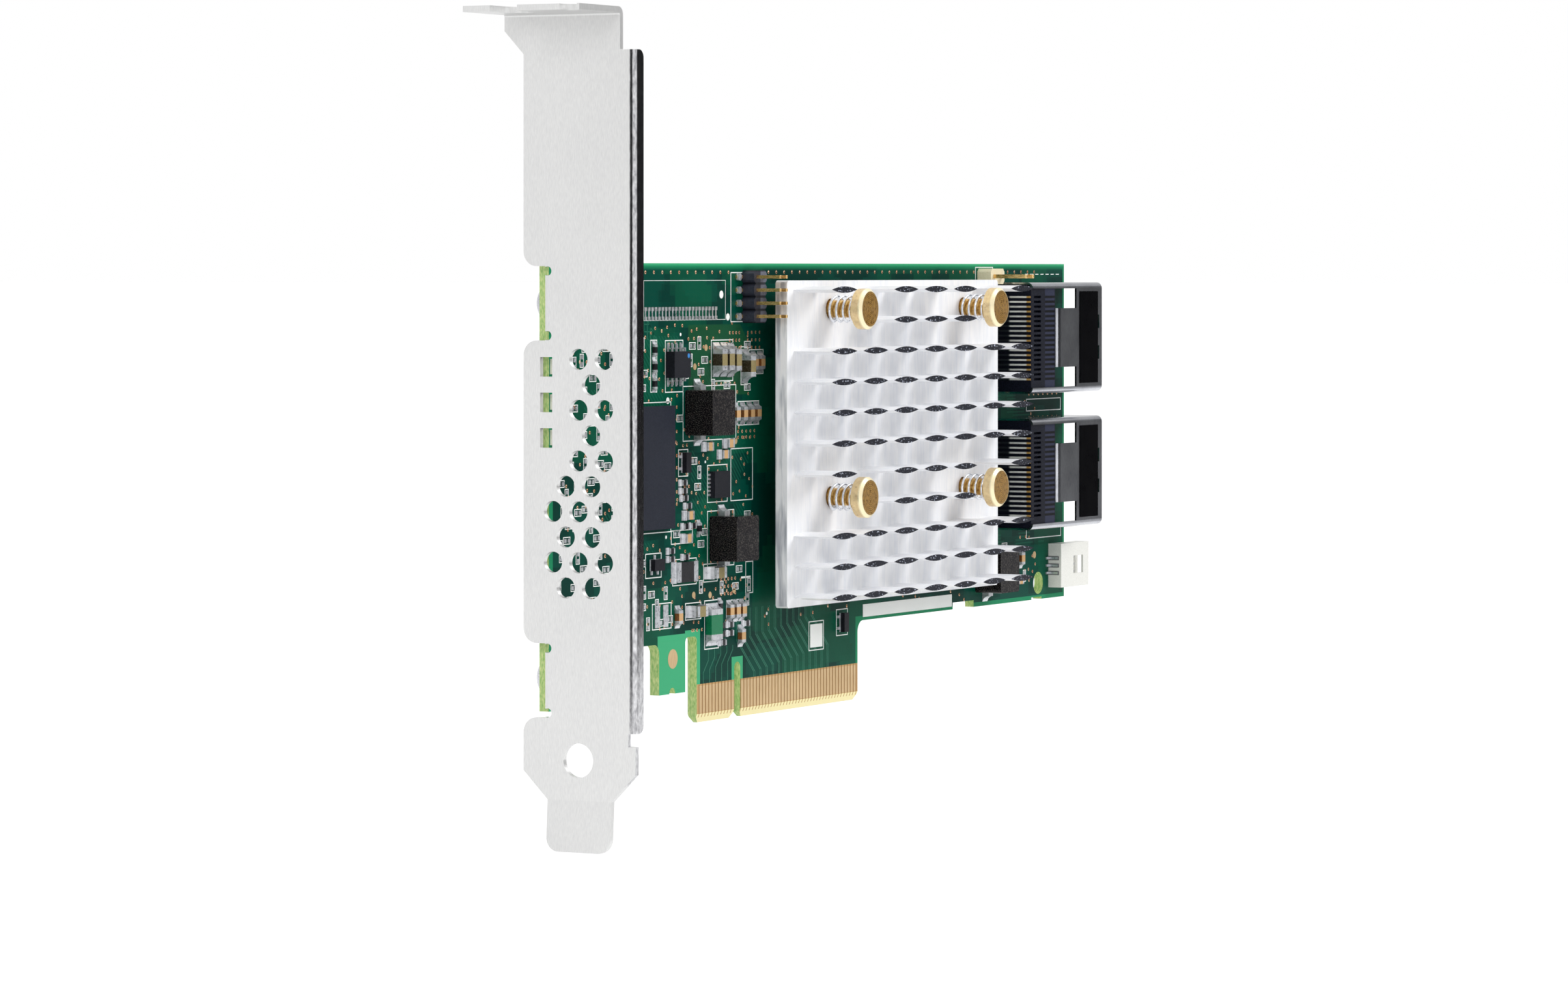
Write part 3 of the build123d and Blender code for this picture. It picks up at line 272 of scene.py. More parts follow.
# %% Shared recipes
def moulded(name, colour, lighter, rough=0.5, grain=0.12, depth=0.015, **fixed):
    f = Finish(name)
    speckle = f.noise(grain, 3.0)
    cloud = f.noise(3.0)
    shade = f.mix(f.over(speckle, 0.35, 0.75), colour, lighter)
    return f.done(shade, f.uneven(f.over(cloud, 0.2, 0.8), rough, 0.06), 0.0, speckle, depth, **fixed)


def brushed(name, colour, darker, rough, stretch, grain=0.12, depth=0.012, metal=1.0):
    f = Finish(name)
    lines = f.noise(grain, 3.0, stretch)
    cloud = f.noise(6.0)
    shade = f.mix(f.over(lines * 0.6 + cloud * 0.4, 0.35, 0.62), darker, colour)
    return f.done(shade, f.uneven(f.over(lines, 0.3, 0.7), rough, 0.07), metal, lines, depth)


print("recipes: moulded and brushed")

# %% [markdown]
# The board is glass laminate under green lacquer. Copper shows through it as patches with square edges.
# Along the rim, the slots and the tab there is no copper, so the green is brighter. The cut edge is bare
# laminate, and round the gold pads the lacquer stops.

# %% Board finish
TOP_RIM, LEFT_RIM, TOP_LINE = (67.75, 68.35), (54.9, 55.0), (68.35, 68.7)
RIM_ZONES = ((38.9, FAR, 5.6, 13.1), (115.1, FAR, -FAR, FAR))
BARE_ZONES = ((-24.5, -15.4, -FAR, 13.6), (-FAR, -43.5, -FAR, 12.6), (-16.2, -11.6, -FAR, 14.0),
              (-1.75, 1.75, -FAR, 9.2))
GOLD_ZONE = (-12.7, 39.7, -FAR, 5.75)
GOLD_PITCH, GOLD_START = 1.0, 12.0
BEVEL_TOP, BEVEL_MIDDLE = 1.4, 0.75


def board_finish():
    f = Finish("solder_mask")
    patch = f.over(f.noise(7.0, 1.0, (1.6, 1, 1), snap=0.9), 0.50, 0.53)
    second = f.over(f.noise(13.0, 0.0, (1, 1, 1.5), snap=1.6), 0.55, 0.58)
    shade = f.mix(patch * 0.6, (0, 56, 47), (0, 78, 63))
    shade = f.mix(second * 0.5, shade, (8, 92, 64))
    left = f.zone(-46.0, 4.0, 26.0, 58.0) * (f.noise(8.0, 0.0, snap=1.2) > 0.56)
    right = f.zone(79.5, 110.0, 22.0, 64.0) * (f.noise(6.0, 0.0, snap=1.1) > 0.5)
    slanted, level = f.stripes(f.x * 0.7 + f.z * 0.7, 0.62, 0.4), f.stripes(f.z, 0.55, 0.45)
    track = f.most(left * slanted, right * level)
    shade = f.mix(track * 0.4, shade, (30, 112, 86))
    olive = f.zone(-15.2, 3.4, 48.9, 59.6) * (f.x + f.z < 60.5)
    shade = f.mix(olive * 0.7, shade, (30, 84, 50))
    rim = f.most(f.over(f.z, *TOP_RIM), f.over(-1.0 * f.x, *LEFT_RIM), *[f.zone(*z) for z in RIM_ZONES])
    shade = f.mix(rim * 0.85, shade, (32, 142, 96))
    bare = f.most(f.over(f.z, *TOP_LINE), *[f.zone(*z) for z in BARE_ZONES])
    shade = f.mix(bare * 0.85, shade, (72, 184, 130))
    gap = f.stripes(f.x + GOLD_START, GOLD_PITCH, 0.22)
    shade = f.mix(f.zone(*GOLD_ZONE), shade, f.mix(gap, (196, 158, 108), (140, 104, 66)))
    face = abs(f.ny) > 0.5
    bevel = f.within(abs(f.ny), 0.5, 0.99) * (f.z < BEVEL_TOP)
    weave = f.noise(0.22, 2.0, (3, 1, 3))
    cut = f.mix(f.over(weave, 0.3, 0.7), (146, 190, 114), (216, 228, 160))
    shade = f.mix(f.math("MINIMUM", face, 1.0 - bevel), cut, shade)
    ends = f.stripes(f.x + GOLD_START, GOLD_PITCH, 0.25) * (f.z > BEVEL_MIDDLE)
    shade = f.mix(bevel, shade, f.mix(ends, (250, 238, 184), (196, 158, 100)))
    grain = f.noise(0.35)
    height = patch * 0.4 + track * 0.6 + grain * 0.25
    rough = (1.0 - face) * 0.42 + 0.3 + grain * 0.1
    return f.done(shade, rough, 0.0, height, 0.02, shine=0.06)


wear("circuit_board", board_finish())

# %% [markdown]
# The heatsink's walls keep the fine lines of the die that it was pressed through. On the side that faces -X
# these lines are painted grey, as painted shade. Its fins' tips are rough from the saw; their dark colour is
# a painted reflection, with a painted glint here and there.

# %% Heatsink finish
PLATE_FACE, FIN_TIPS = -6.2, -12.74


def sink_finish():
    f = Finish("sink_aluminium")
    lines = f.noise(0.2, 2.0, (1, 1, 12))
    streaks = f.noise(1.6, 2.0, (1, 1, 8))
    wall = f.mix(f.over(lines * 0.5 + streaks * 0.5, 0.34, 0.6), (238, 240, 245), (253, 253, 254))
    # Painted shade: the die lines on the -X side are painted grey.
    side = (f.nx < -0.8) * (f.y > PLATE_FACE)
    side_shade_streaks = f.over(f.noise(1.1, 3.0, (1, 1, 9)), 0.42, 0.62) * side
    wall = f.mix(side_shade_streaks * 0.75, wall, (142, 148, 160))
    # Painted dark reflection and painted glints on the fins' tips.
    tip = (f.y < FIN_TIPS) * (f.ny < -0.9)
    saw = f.noise(0.26, 4.0, (2.2, 1, 1))
    tip_reflection_and_glints = f.mix(f.over(saw, 0.6, 0.68), (16, 19, 32), (190, 196, 214))
    shade = f.mix(tip, wall, tip_reflection_and_glints)
    rough = tip * 0.1 + 0.34 + lines * 0.08
    height = tip * saw * 4.0 + (1.0 - tip) * lines * 0.6
    return f.done(shade, rough, 0.08, height, 0.02, shine=0.2)


wear("heatsink", sink_finish())

# %% [markdown]
# Each push pin is turned from brass. A lathe leaves rings round the middle of the head, so the pattern
# is the distance to the nearest pin's axis. The head's end face is painted a darker brown, as a painted dark
# reflection, and the bevel at the rim is painted pale, as a painted highlight.

# %% Push pin finish
PIN_AXES = ((20.37, 32.8), (20.37, 61.8), (66.37, 32.8), (66.37, 61.8))
HEAD_FACE, HEAD_BEVEL = -12.5, -12.4
BEVEL_HIGHLIGHT_RADII, HEAD_RADII = (2.62, 2.74), (3.05, 3.12)
RINGS = 21.0


def turned_brass():
    f = Finish("pin_brass")
    radius = f.away_from(*PIN_AXES[0])
    for axis in PIN_AXES[1:]:
        radius = f.math("MINIMUM", radius, f.away_from(*axis))
    rings = f.math("SINE", radius * RINGS) * 0.5 + 0.5
    cloud = f.noise(0.5)
    # The end face is painted a darker brown, as a painted dark reflection.
    end = (f.ny < -0.9) * (f.y < HEAD_FACE)
    face = f.mix(rings * 0.45 + f.over(cloud, 0.35, 0.65) * 0.4, (104, 72, 26), (208, 160, 76))
    side = f.mix(f.over(cloud, 0.3, 0.7), (190, 140, 68), (234, 196, 122))
    # Painted highlight on the bevel at each head's rim.
    bevel = f.over(radius, *BEVEL_HIGHLIGHT_RADII) * (f.y < HEAD_BEVEL)
    rim = f.most(bevel, f.over(radius, *HEAD_RADII) * 0.5)
    shade = f.mix(rim, f.mix(end, side, face), (250, 236, 196))
    return f.done(shade, 0.24 + cloud * 0.1, end * -0.45 + 0.85, rings * end, 0.012)


wear("heatsink_push_pins", turned_brass())

# %% [markdown]
# Folded steel, tin, gold and the moulded bodies need only the two shared recipes with their own numbers.
# The gold pads are pale because the flash is thin, and tin is greyer and rougher than steel.

# %% Plain finishes
screws = brushed("screw_steel", (214, 215, 220), (170, 171, 178), 0.3, (1, 1, 1), 0.2)
wire = brushed("spring_steel", (240, 242, 246), (196, 200, 208), 0.16, (1, 1, 1), 0.4)
gold = brushed("gold", (220, 190, 144), (200, 168, 122), 0.4, (1, 1, 10), 0.14, 0.006, 0.35)
pins_gold = brushed("pin_gold", (240, 206, 140), (206, 160, 92), 0.26, (1, 6, 1), 0.12, 0.006, 0.8)
tin = brushed("tin", (222, 224, 228), (182, 184, 190), 0.32, (1, 1, 1), 0.5, 0.015, 0.6)
black_chip = moulded("chip_black", (22, 23, 29), (40, 42, 50), 0.5, shine=0.14)
memory = moulded("memory_black", (32, 35, 45), (44, 48, 60), 0.5, shine=0.12)
label = moulded("label_black", (1, 1, 3), (4, 4, 7), 0.3, 0.1, 0.003, shine=0.01)
pad_grey = moulded("pad_grey", (120, 124, 130), (150, 154, 160), 0.8)
white = moulded("connector_white", (226, 226, 220), (242, 242, 236), 0.42)
beige = moulded("jumper_beige", (228, 218, 182), (244, 236, 208), 0.45)
resistor = moulded("resistor_black", (14, 14, 18), (40, 40, 46), 0.3, shine=0.3)
fuse = moulded("fuse_green", (0, 104, 66), (20, 136, 90), 0.35, shine=0.3)
led = moulded("led_clear", (236, 232, 214), (250, 250, 240), 0.2, coat=0.4)

# %% [markdown]
# The ports' contacts are plated twice: tin along the blade, and gold only at the tip that touches the
# cable's own card. Their feet stand in the dark, and that shade is painted into their colour.

# %% Contact finish
SHADED_FEET, TIPS = (3.5, 3.9), (6.7, 6.9)


def contact_finish():
    f = Finish("port_contact")
    height = -1.0 * f.y
    grain = f.noise(0.2, 2.0, (1, 5, 1))
    blade = f.mix(f.over(grain, 0.3, 0.7), (214, 212, 208), (248, 247, 242))
    # Painted shade darkens the feet.
    blade = f.mix(f.over(height, *SHADED_FEET), (34, 36, 44), blade)
    tip = f.over(height, *TIPS)
    return f.done(f.mix(tip, blade, (232, 184, 110)), grain * 0.1 + 0.3, tip * 0.5 + 0.25, grain, 0.006)


contacts = contact_finish()

# %% [markdown]
# Each port stands in a cage of folded steel. Its front faces and the faces that point up are painted dark, as
# painted dark reflections.

# %% Cage finish
def cage_finish():
    f = Finish("shield_steel")
    lines = f.noise(0.1, 3.0, (1, 1, 9))
    cloud = f.noise(6.0)
    shade = f.mix(f.over(lines * 0.6 + cloud * 0.4, 0.35, 0.62), (156, 158, 166), (204, 206, 212))
    # Painted dark reflection on the front faces and on the faces that point up.
    front = f.ny < -0.9
    shade = f.mix(front * 0.62, shade, f.mix(cloud, (50, 52, 58), (116, 118, 124)))
    shade = f.mix(f.over(f.nz, 0.1, 0.5) * 0.6, shade, (62, 64, 70))
    return f.done(shade, front * 0.14 + 0.16, 1.0, lines, 0.0015)


cage = cage_finish()

# %% [markdown]
# A port's body is black, with a comb of slots painted dark as shade, centred on the port and at its contacts'
# pitch.

# %% Housing finish
PORT_CENTRES, CONTACT_PITCH, PORT_CONTACTS = (56.53, 34.0), 0.8, 18
COMB, COMB_HALF, COMB_START = (94.1, 97.8), 7.0, 40.6


def housing_finish():
    f = Finish("housing_black")
    speckle = f.noise(0.2, 3.0)
    shade = f.mix(f.over(speckle, 0.35, 0.75), (14, 16, 25), (28, 31, 46))
    combs = []
    for centre in PORT_CENTRES:
        shaded_slits = f.stripes(f.z - centre + COMB_START, CONTACT_PITCH, 0.5)
        combs.append(shaded_slits * f.within(f.z, centre - COMB_HALF, centre + COMB_HALF))
    # The comb's dark slots are painted shade.
    ribbed = f.within(f.x, *COMB) * (f.ny < -0.9)
    shade = f.mix(ribbed, shade, f.mix(f.most(*combs), (44, 48, 68), (3, 4, 8)))
    return f.done(shade, f.noise(3.0) * 0.12 + 0.34, 0.0, speckle, 0.015, shine=0.08)


housing = housing_finish()

# %% [markdown]
# The pin header has four moulded steps, and the dark seams between them are painted shade. Its outer row
# stands in the light, so it is paler than the inner one.

# %% Header finish
HEADER_STEPS = 4
header_low, header_high = box_mm("cable_header")
header_step = (header_high.z - header_low.z) / HEADER_STEPS


def header_finish():
    f = Finish("header_black")
    middle = (header_low.x + header_high.x) / 2
    speckle = f.noise(0.3, 3.0)
    inner = f.mix(speckle, (30, 33, 42), (60, 64, 78))
    outer = f.mix(speckle, (74, 78, 92), (128, 133, 150))
    shade = f.mix(f.over(f.x, middle - 0.05, middle + 0.05), inner, outer)
    # Painted shade in the seams between the steps.
    seam_shade = f.stripes(f.z - header_low.z + header_step * 10.09, header_step, 0.18)
    shade = f.mix(seam_shade * 0.8, shade, (16, 18, 24))
    return f.done(shade, 0.4, 0.0, speckle, 0.015, shine=0.25)


header = header_finish()
print("header step:", round(header_step, 2), "mm")

# %% [markdown]
# The bracket is nickel-plated sheet: satin on its flat and smoother round the fold, so the fold mirrors the
# room while the flat only glows. The fold is also painted a darker, gritty grey, as a painted dark
# reflection.

# %% Bracket finish
FOLD_START, FOLD_TOP = -14.5, 100.5


def bracket_finish():
    f = Finish("bracket_steel")
    lines = f.noise(0.12, 3.0, (1, 1, 7))
    cloud = f.noise(16.0, 1.0)
    flat = f.mix(f.over(lines * 0.8 + cloud * 0.2, 0.3, 0.7), (215, 215, 215), (230, 230, 229))
    # Painted dark reflection: the fold's darker grey.
    fold_shade = f.over(-1.0 * f.ny, 0.1, 0.25) * (f.y < FOLD_START) * (f.z < FOLD_TOP)
    grit = f.noise(0.35, 2.0, (1, 1, 3))
    drawn = f.mix(f.over(grit, 0.3, 0.75), (150, 150, 153), (226, 226, 228))
    rough = fold_shade * -0.26 + 0.4
    return f.done(f.mix(fold_shade, flat, drawn), rough, fold_shade * 0.2 + 0.78, lines, 0.004)


steel = bracket_finish()

# %% [markdown]
# These finishes now go to their nodes. Tin covers the ends and feet of all the small parts.

# %% Give the plain finishes out
WORN = {
    steel: "mounting_bracket", screws: "bracket_screws", cage: "port_1_shield port_2_shield",
    wire: "push_pin_springs", gold: "edge_contacts", pins_gold: "cable_header_pins jumper_pins",
    tin: "wire_connector_contacts serial_chip_leads inductor_feet fuse_ends sense_resistor_ends "
         "large_capacitor_ends small_capacitor_ends chip_resistor_ends",
    contacts: "port_1_contacts port_2_contacts", housing: "port_1_housing port_2_housing",
    label: "port_1_label port_2_label", black_chip: "controller_chip serial_chip regulator_chip",
    memory: "memory_chip", header: "cable_header", pad_grey: "thermal_pad", white: "wire_connector",
    beige: "jumper_header", resistor: "chip_resistors sense_resistor", fuse: "fuse", led: "status_leds",
}
for material, names in WORN.items():
    for node in names.split():
        wear(node, material)
print("finishes given out:", len(WORN))

# %% [markdown]
# Ceramic capacitors and inductors are lighter on top and darker at the side. On the capacitors the dark side
# is painted shade. The direction that a face points in chooses between the two colours.

# %% Lighter tops and darker sides
def top_and_darker_side(name, side, top, rough_side, rough_top, grain=0.15, **fixed):
    f = Finish(name)
    speckle = f.noise(grain, 3.0)
    up = f.ny < -0.9
    shade = f.mix(up, side, top)
    shade = f.mix(f.over(speckle, 0.5, 0.85) * 0.2, shade, (238, 228, 214))
    return f.done(shade, up * (rough_top - rough_side) + rough_side, 0.0, speckle, 0.008, **fixed)


# The capacitors' dark sides are painted shade; the inductors are simply darker at the side.
wear("large_capacitors", top_and_darker_side("large_ceramic", (48, 40, 22), (140, 126, 82), 0.35, 0.5, shine=0.3))
wear("small_capacitors", top_and_darker_side("small_ceramic", (120, 72, 26), (206, 164, 112), 0.4, 0.5, shine=0.3))
wear("inductors", top_and_darker_side("inductor_grey", (8, 7, 12), (18, 17, 22), 0.1, 0.36, shine=0.1))

# %% [markdown]
# A transistor is black on bright legs: what lies within a third of a millimetre of the board is metal.

# %% Legged finish
LEG_RISE = 0.34


def legged(name, dark, bright):
    f = Finish(name)
    leg = f.y > FACE - LEG_RISE
    grain = f.noise(0.15, 3.0)
    body = f.mix(f.over(grain, 0.35, 0.75), dark, bright)
    metal = f.mix(f.over(grain, 0.3, 0.7), (190, 192, 198), (232, 233, 238))
    return f.done(f.mix(leg, body, metal), 0.45, leg * 0.4, grain, 0.01, shine=0.14)


wear("transistors", legged("transistor_black", (20, 20, 26), (36, 36, 44)))

# %% [markdown]
# The card stands on a wide pale floor. Where it is looked at, the floor glows a little and so runs into the
# white room without a horizon.

# %% Floor
WHITE = (1, 1, 1, 1)
FLOOR, FLOOR_HALF, FLOOR_GLOW = card_box[0].z, 30, 1.55
floor_mesh = bpy.data.meshes.new("floor")
SQUARE = ((-1, -1), (1, -1), (1, 1), (-1, 1))
floor_mesh.from_pydata([(x * FLOOR_HALF, y * FLOOR_HALF, FLOOR) for x, y in SQUARE], [], [(0, 1, 2, 3)])
floor = put("floor", floor_mesh)


def floor_finish():
    f = Finish("pale_floor")
    material = f.done((250, 250, 250), f.noise(40.0) * 0.05 + 0.6, shine=0.1)
    surface = Value(f, f.shader, f.shader.outputs[0])
    glow = f.add("ShaderNodeEmission", {"Color": WHITE, "Strength": FLOOR_GLOW})
    both = f.add("ShaderNodeMixShader", {0: f.seen() * 0.5, 1: surface, 2: glow})
    f.tree.links.new(both.socket, f.tree.nodes["Material Output"].inputs["Surface"])
    return material


floor_mesh.materials.append(floor_finish())

# %% [markdown]
# The room is an even white. The camera and mirror-like surfaces see plain white, while the light that
# falls on the card comes from a dimmer sky and soft lamps, so nothing is overlit.

# %% White room
SKY_LIGHT, SKY_SEEN = 0.55, 1.0
world = bpy.data.worlds.new("white_room")
world.use_nodes = True
bpy.context.scene.world = world
sky = Bench(world.node_tree)
dim = sky.add("ShaderNodeBackground", {"Color": WHITE, "Strength": SKY_LIGHT})
bright = sky.add("ShaderNodeBackground", {"Color": WHITE, "Strength": SKY_SEEN})
both = sky.add("ShaderNodeMixShader", {0: sky.seen(), 1: dim, 2: bright})
world.node_tree.links.new(both.socket, world.node_tree.nodes["World Output"].inputs["Surface"])
print("sky:", SKY_LIGHT, "as light,", SKY_SEEN, "where it is seen")

# %% [markdown]
# Two soft boxes: the main one stands high at the card's right front, so that the heatsink shades the
# board at its left, and the other lights the bracket. A lamp of 10 watts at one metre lights a white wall
# to full white, so these are only a few watts. Two black cards close to the object give polished faces
# something dark to mirror, as in a real studio. Only mirror-like rays can see them.

# %% Lamps and black cards
def soft_box(name, place, aim, size, watts):
    lamp = bpy.data.lights.new(name, "AREA")
    lamp.shape, lamp.size, lamp.energy = "SQUARE", size, watts
    box = put(name, lamp)
    box.location = place
    box.rotation_euler = (Vector(aim) - Vector(place)).to_track_quat("-Z", "Y").to_euler()


def black_card(name, place, aim, wide, tall):
    toward = (Vector(aim) - Vector(place)).normalized()
    side = toward.cross(Vector((0, 0, 1))).normalized() * wide / 2
    up = Vector((0, 0, tall / 2))
    mesh = bpy.data.meshes.new(name)
    mesh.from_pydata([Vector(place) + side * x + up * z for x, z in SQUARE], [], [(0, 1, 2, 3)])
    f = Finish(name)
    mesh.materials.append(f.done((8, 9, 12), f.noise(30.0) * 0.1 + 0.85, shine=0.0))
    card = put(name, mesh)
    card.visible_camera = card.visible_diffuse = card.visible_shadow = False


MIDDLE = tuple((card_box[0] + card_box[1]) / 2)
soft_box("main_box", (0.6, -0.78, 0.66), MIDDLE, 0.55, 7.0)
soft_box("bracket_box", (-0.9, -0.3, 0.5), MIDDLE, 0.4, 2.7)
black_card("right_card", (0.22, -0.3, 0.05), MIDDLE, 0.6, 0.3)
black_card("left_card", (-0.3, -0.075, 0.05), MIDDLE, 0.15, 0.3)
bpy.context.scene.view_settings.view_transform = "Standard"

# %% [markdown]
# Fine things are placed from the CAD itself. A node may hold many separate solids, so a merged copy of its
# mesh is split into islands, and each island's box says where one part is.

# %% Boxes of separate solids
def islands(node):
    """Lowest and highest corner of each separate solid of a node, in millimetres."""
    mesh = bmesh.new()
    mesh.from_mesh(nodes[node].data)
    bmesh.ops.remove_doubles(mesh, verts=mesh.verts, dist=1e-6)
    left, found = set(mesh.verts), []
    while left:
        grown, edge = set(), [left.pop()]
        while edge:
            vert = edge.pop()
            grown.add(vert)
            for link in vert.link_edges:
                other = link.other_vert(vert)
                if other in left:
                    left.discard(other)
                    edge.append(other)
        corners = [[f(v.co[i] for v in grown) / MM for i in range(3)] for f in (min, max)]
        found.append((Vector(corners[0]), Vector(corners[1])))
    mesh.free()
    return found


print("small resistors:", len(islands("chip_resistors")))

# %% [markdown]
# Solder, ink and pads are hundreds of simple shapes, drawn in X and Z, that rise from the board's face. A
# `Stock` collects those of one kind and makes them one piece of the card.

# %% Stock of simple shapes
def circle(x, z, radius, sides):
    """Corners of a round outline."""
    turn = 2 * math.pi / sides
    return [(x + radius * math.cos(i * turn), z + radius * math.sin(i * turn)) for i in range(sides)]


def new_mesh(name, corners, faces=()):
    """A mesh from corners in millimetres."""
    mesh = bpy.data.meshes.new(name)
    mesh.from_pydata([Vector(corner) * MM for corner in corners], [], faces)
    return mesh


def add_piece(name, mesh):
    """A finished mesh as a piece of the card."""
    piece = put(name, mesh)
    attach(piece, "root")
    print(name, len(mesh.polygons), "faces")
    return piece


class Stock:
    """Simple shapes, in millimetres, that become one piece."""

    def __init__(self, name, material, slot, face=FACE, out=-1):
        self.name, self.material, self.slot = name, material, slot
        self.face, self.out = face, out
        self.verts, self.faces = [], []

    def prism(self, outline, y0, y1):
        """A shape drawn in X and Z, from depth y0 to y1."""
        start, count = len(self.verts), len(outline)
        for y in (y0, y1):
            self.verts += [(x, y, z) for x, z in outline]
        self.faces.append([start + i for i in range(count)])
        self.faces.append([start + count + i for i in reversed(range(count))])
        for i in range(count):
            j = (i + 1) % count
            self.faces.append([start + i, start + count + i, start + count + j, start + j])

    def plate(self, x0, x1, z0, z1, height, start=0.0):
        """A rectangle that rises by its height, from a start above the face."""
        corners = [(x0, z0), (x1, z0), (x1, z1), (x0, z1)]
        self.prism(corners, self.face + self.out * start, self.face + self.out * (start + height))

    def disc(self, x, z, radius, height, sides):
        self.prism(circle(x, z, radius, sides), self.face, self.face + self.out * height)

    def frame(self, x0, x1, z0, z1, width, height):
        """The four sides of a rectangle, drawn as thin bars."""
        self.plate(x0, x1, z0, z0 + width, height)
        self.plate(x0, x1, z1 - width, z1, height)
        self.plate(x0, x0 + width, z0 + width, z1 - width, height)
        self.plate(x1 - width, x1, z0 + width, z1 - width, height)

    def make(self):
        """One mesh of all the shapes, with its faces pointing outward."""
        mesh = new_mesh(self.name, self.verts, self.faces)
        work = bmesh.new()
        work.from_mesh(mesh)
        bmesh.ops.recalc_face_normals(work, faces=work.faces)
        work.to_mesh(mesh)
        work.free()
        mesh.materials.append(self.material)
        add_piece(self.name, mesh)


print("plate, disc, frame and prism are ready")

# %% [markdown]
# Solder climbs the metal end of each small part and runs out over its pad. The joint is a short ramp:
# high at the part, thin at the pad's end, and hollow between, because molten solder wets both.

# %% Solder joints
SOLDER_RAMP = ((0.0, 0.78), (0.22, 0.46), (0.5, 0.22), (1.0, 0.06))


def ramp(stock, lo, hi, axis, sign, reach, height, spread):
    """A hollow ramp of solder that leaves the box lo..hi along one axis."""
    other = 2 - axis
    a, b = lo[other] - spread, hi[other] + spread
    base = hi[axis] if sign > 0 else lo[axis]
    start = len(stock.verts)
    for share, rise in SOLDER_RAMP:
        along = base + sign * reach * share
        depth = FACE - height * rise
        for side in (a, b):
            for y in (FACE + 0.01, depth):
                point = [0.0, y, 0.0]
                point[axis], point[other] = along, side
                stock.verts.append(tuple(point))
    for i in range(len(SOLDER_RAMP) - 1):
        n = start + 4 * i
        for quad in ((0, 1, 5, 4), (2, 6, 7, 3), (1, 3, 7, 5), (0, 4, 6, 2)):
            stock.faces.append([n + q for q in quad])
    last = start + 4 * (len(SOLDER_RAMP) - 1)
    stock.faces.append([start, start + 2, start + 3, start + 1])
    stock.faces.append([last, last + 1, last + 3, last + 2])


def solder_ends(stock, bodies, ends, reach):
    """A joint at each metal end, on the side that points away from the part's body."""
    middles = [(lo + hi) / 2 for lo, hi in islands(bodies)]
    for lo, hi in islands(ends):
        centre = (lo + hi) / 2
        body = min(middles, key=lambda m: (m - centre).length)
        axis = 0 if abs(centre.x - body.x) > abs(centre.z - body.z) else 2
        sign = 1 if centre[axis] > body[axis] else -1
        ramp(stock, lo, hi, axis, sign, reach, hi.y - lo.y, 0.12)


solder = Stock("solder_joints", tin, "tin")
for bodies, ends, reach in (
    ("large_capacitors", "large_capacitor_ends", 1.0), ("small_capacitors", "small_capacitor_ends", 0.7),
    ("chip_resistors", "chip_resistor_ends", 0.5), ("fuse", "fuse_ends", 0.9),
    ("sense_resistor", "sense_resistor_ends", 0.9), ("inductors", "inductor_feet", 0.9),
):
    solder_ends(solder, bodies, ends, reach)
print("solder corners:", len(solder.verts))

# %% [markdown]
# Leads get their own solder: a low pool at each lead of the serial chip, a round point beside each step of
# the header, and flat leads on the regulator. The white connector's end wall has slots painted grey as shade,
# with bright pins.

# %% Leads and slots
for lo, hi in islands("serial_chip_leads"):
    solder.plate(lo.x - 0.08, hi.x + 0.08, lo.z - 0.2, hi.z + 0.2, 0.05)
for i in range(HEADER_STEPS):
    solder.disc(header_low.x - 1.3, header_low.z + (i + 0.5) * header_step, 0.55, 0.5, 14)

# Grey plates in the end wall are painted shade in its slots.
slot_grey = moulded("slot_grey", (96, 98, 100), (128, 130, 130), 0.6)
slot_shades = Stock("connector_slot_shades", slot_grey, "connector_white")
wall_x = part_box("wire_connector")[0].x / MM
for lo, hi in islands("wire_connector_contacts"):
    if lo.x < wall_x - 0.5:
        z = (lo.z + hi.z) / 2
        slot_shades.plate(wall_x - 0.04, wall_x + 0.02, z - 0.34, z + 0.34, 1.95, 0.05)
        solder.plate(wall_x - 0.12, wall_x + 0.02, z - 0.18, z + 0.18, 1.75, 0.05)
slot_shades.make()

REGULATOR_LEADS, LEAD_REACH, LEAD_HALF = 6, 0.7, 0.17
low, high = box_mm("regulator_chip")
for i in range(REGULATOR_LEADS):
    z = low.z + 0.5 + i * (high.z - low.z - 1.0) / (REGULATOR_LEADS - 1)
    solder.plate(low.x - LEAD_REACH, low.x, z - LEAD_HALF, z + LEAD_HALF, 0.18)
    solder.plate(high.x, high.x + LEAD_REACH, z - LEAD_HALF, z + LEAD_HALF, 0.18)

# %% [markdown]
# Gold pads lie bare on the board: a large round test pad on the tab, a sighting mark near the far end, and
# six small test points round the chips.

# %% Gold test pads
INK = 0.025
TEST_POINTS = ((-13.56, 19.2), (-8.52, 18.94), (-1.03, 19.32), (-9.79, 56.14), (-13.23, 53.34), (-0.5, 41.9))
pads = Stock("bare_pads", gold, "gold")
pads.disc(-19.95, 10.03, 1.45, INK, 28)
pads.disc(104.06, 19.93, 0.6, INK, 20)
for x, z in TEST_POINTS:
    pads.disc(x, z, 0.5, INK, 20)
pads.make()

# %% [markdown]
# Tinned pads wait for parts that this card doesn't carry: a double row along the top, and two wide pads
# near the bracket. Each port's contacts have a row of pads too.

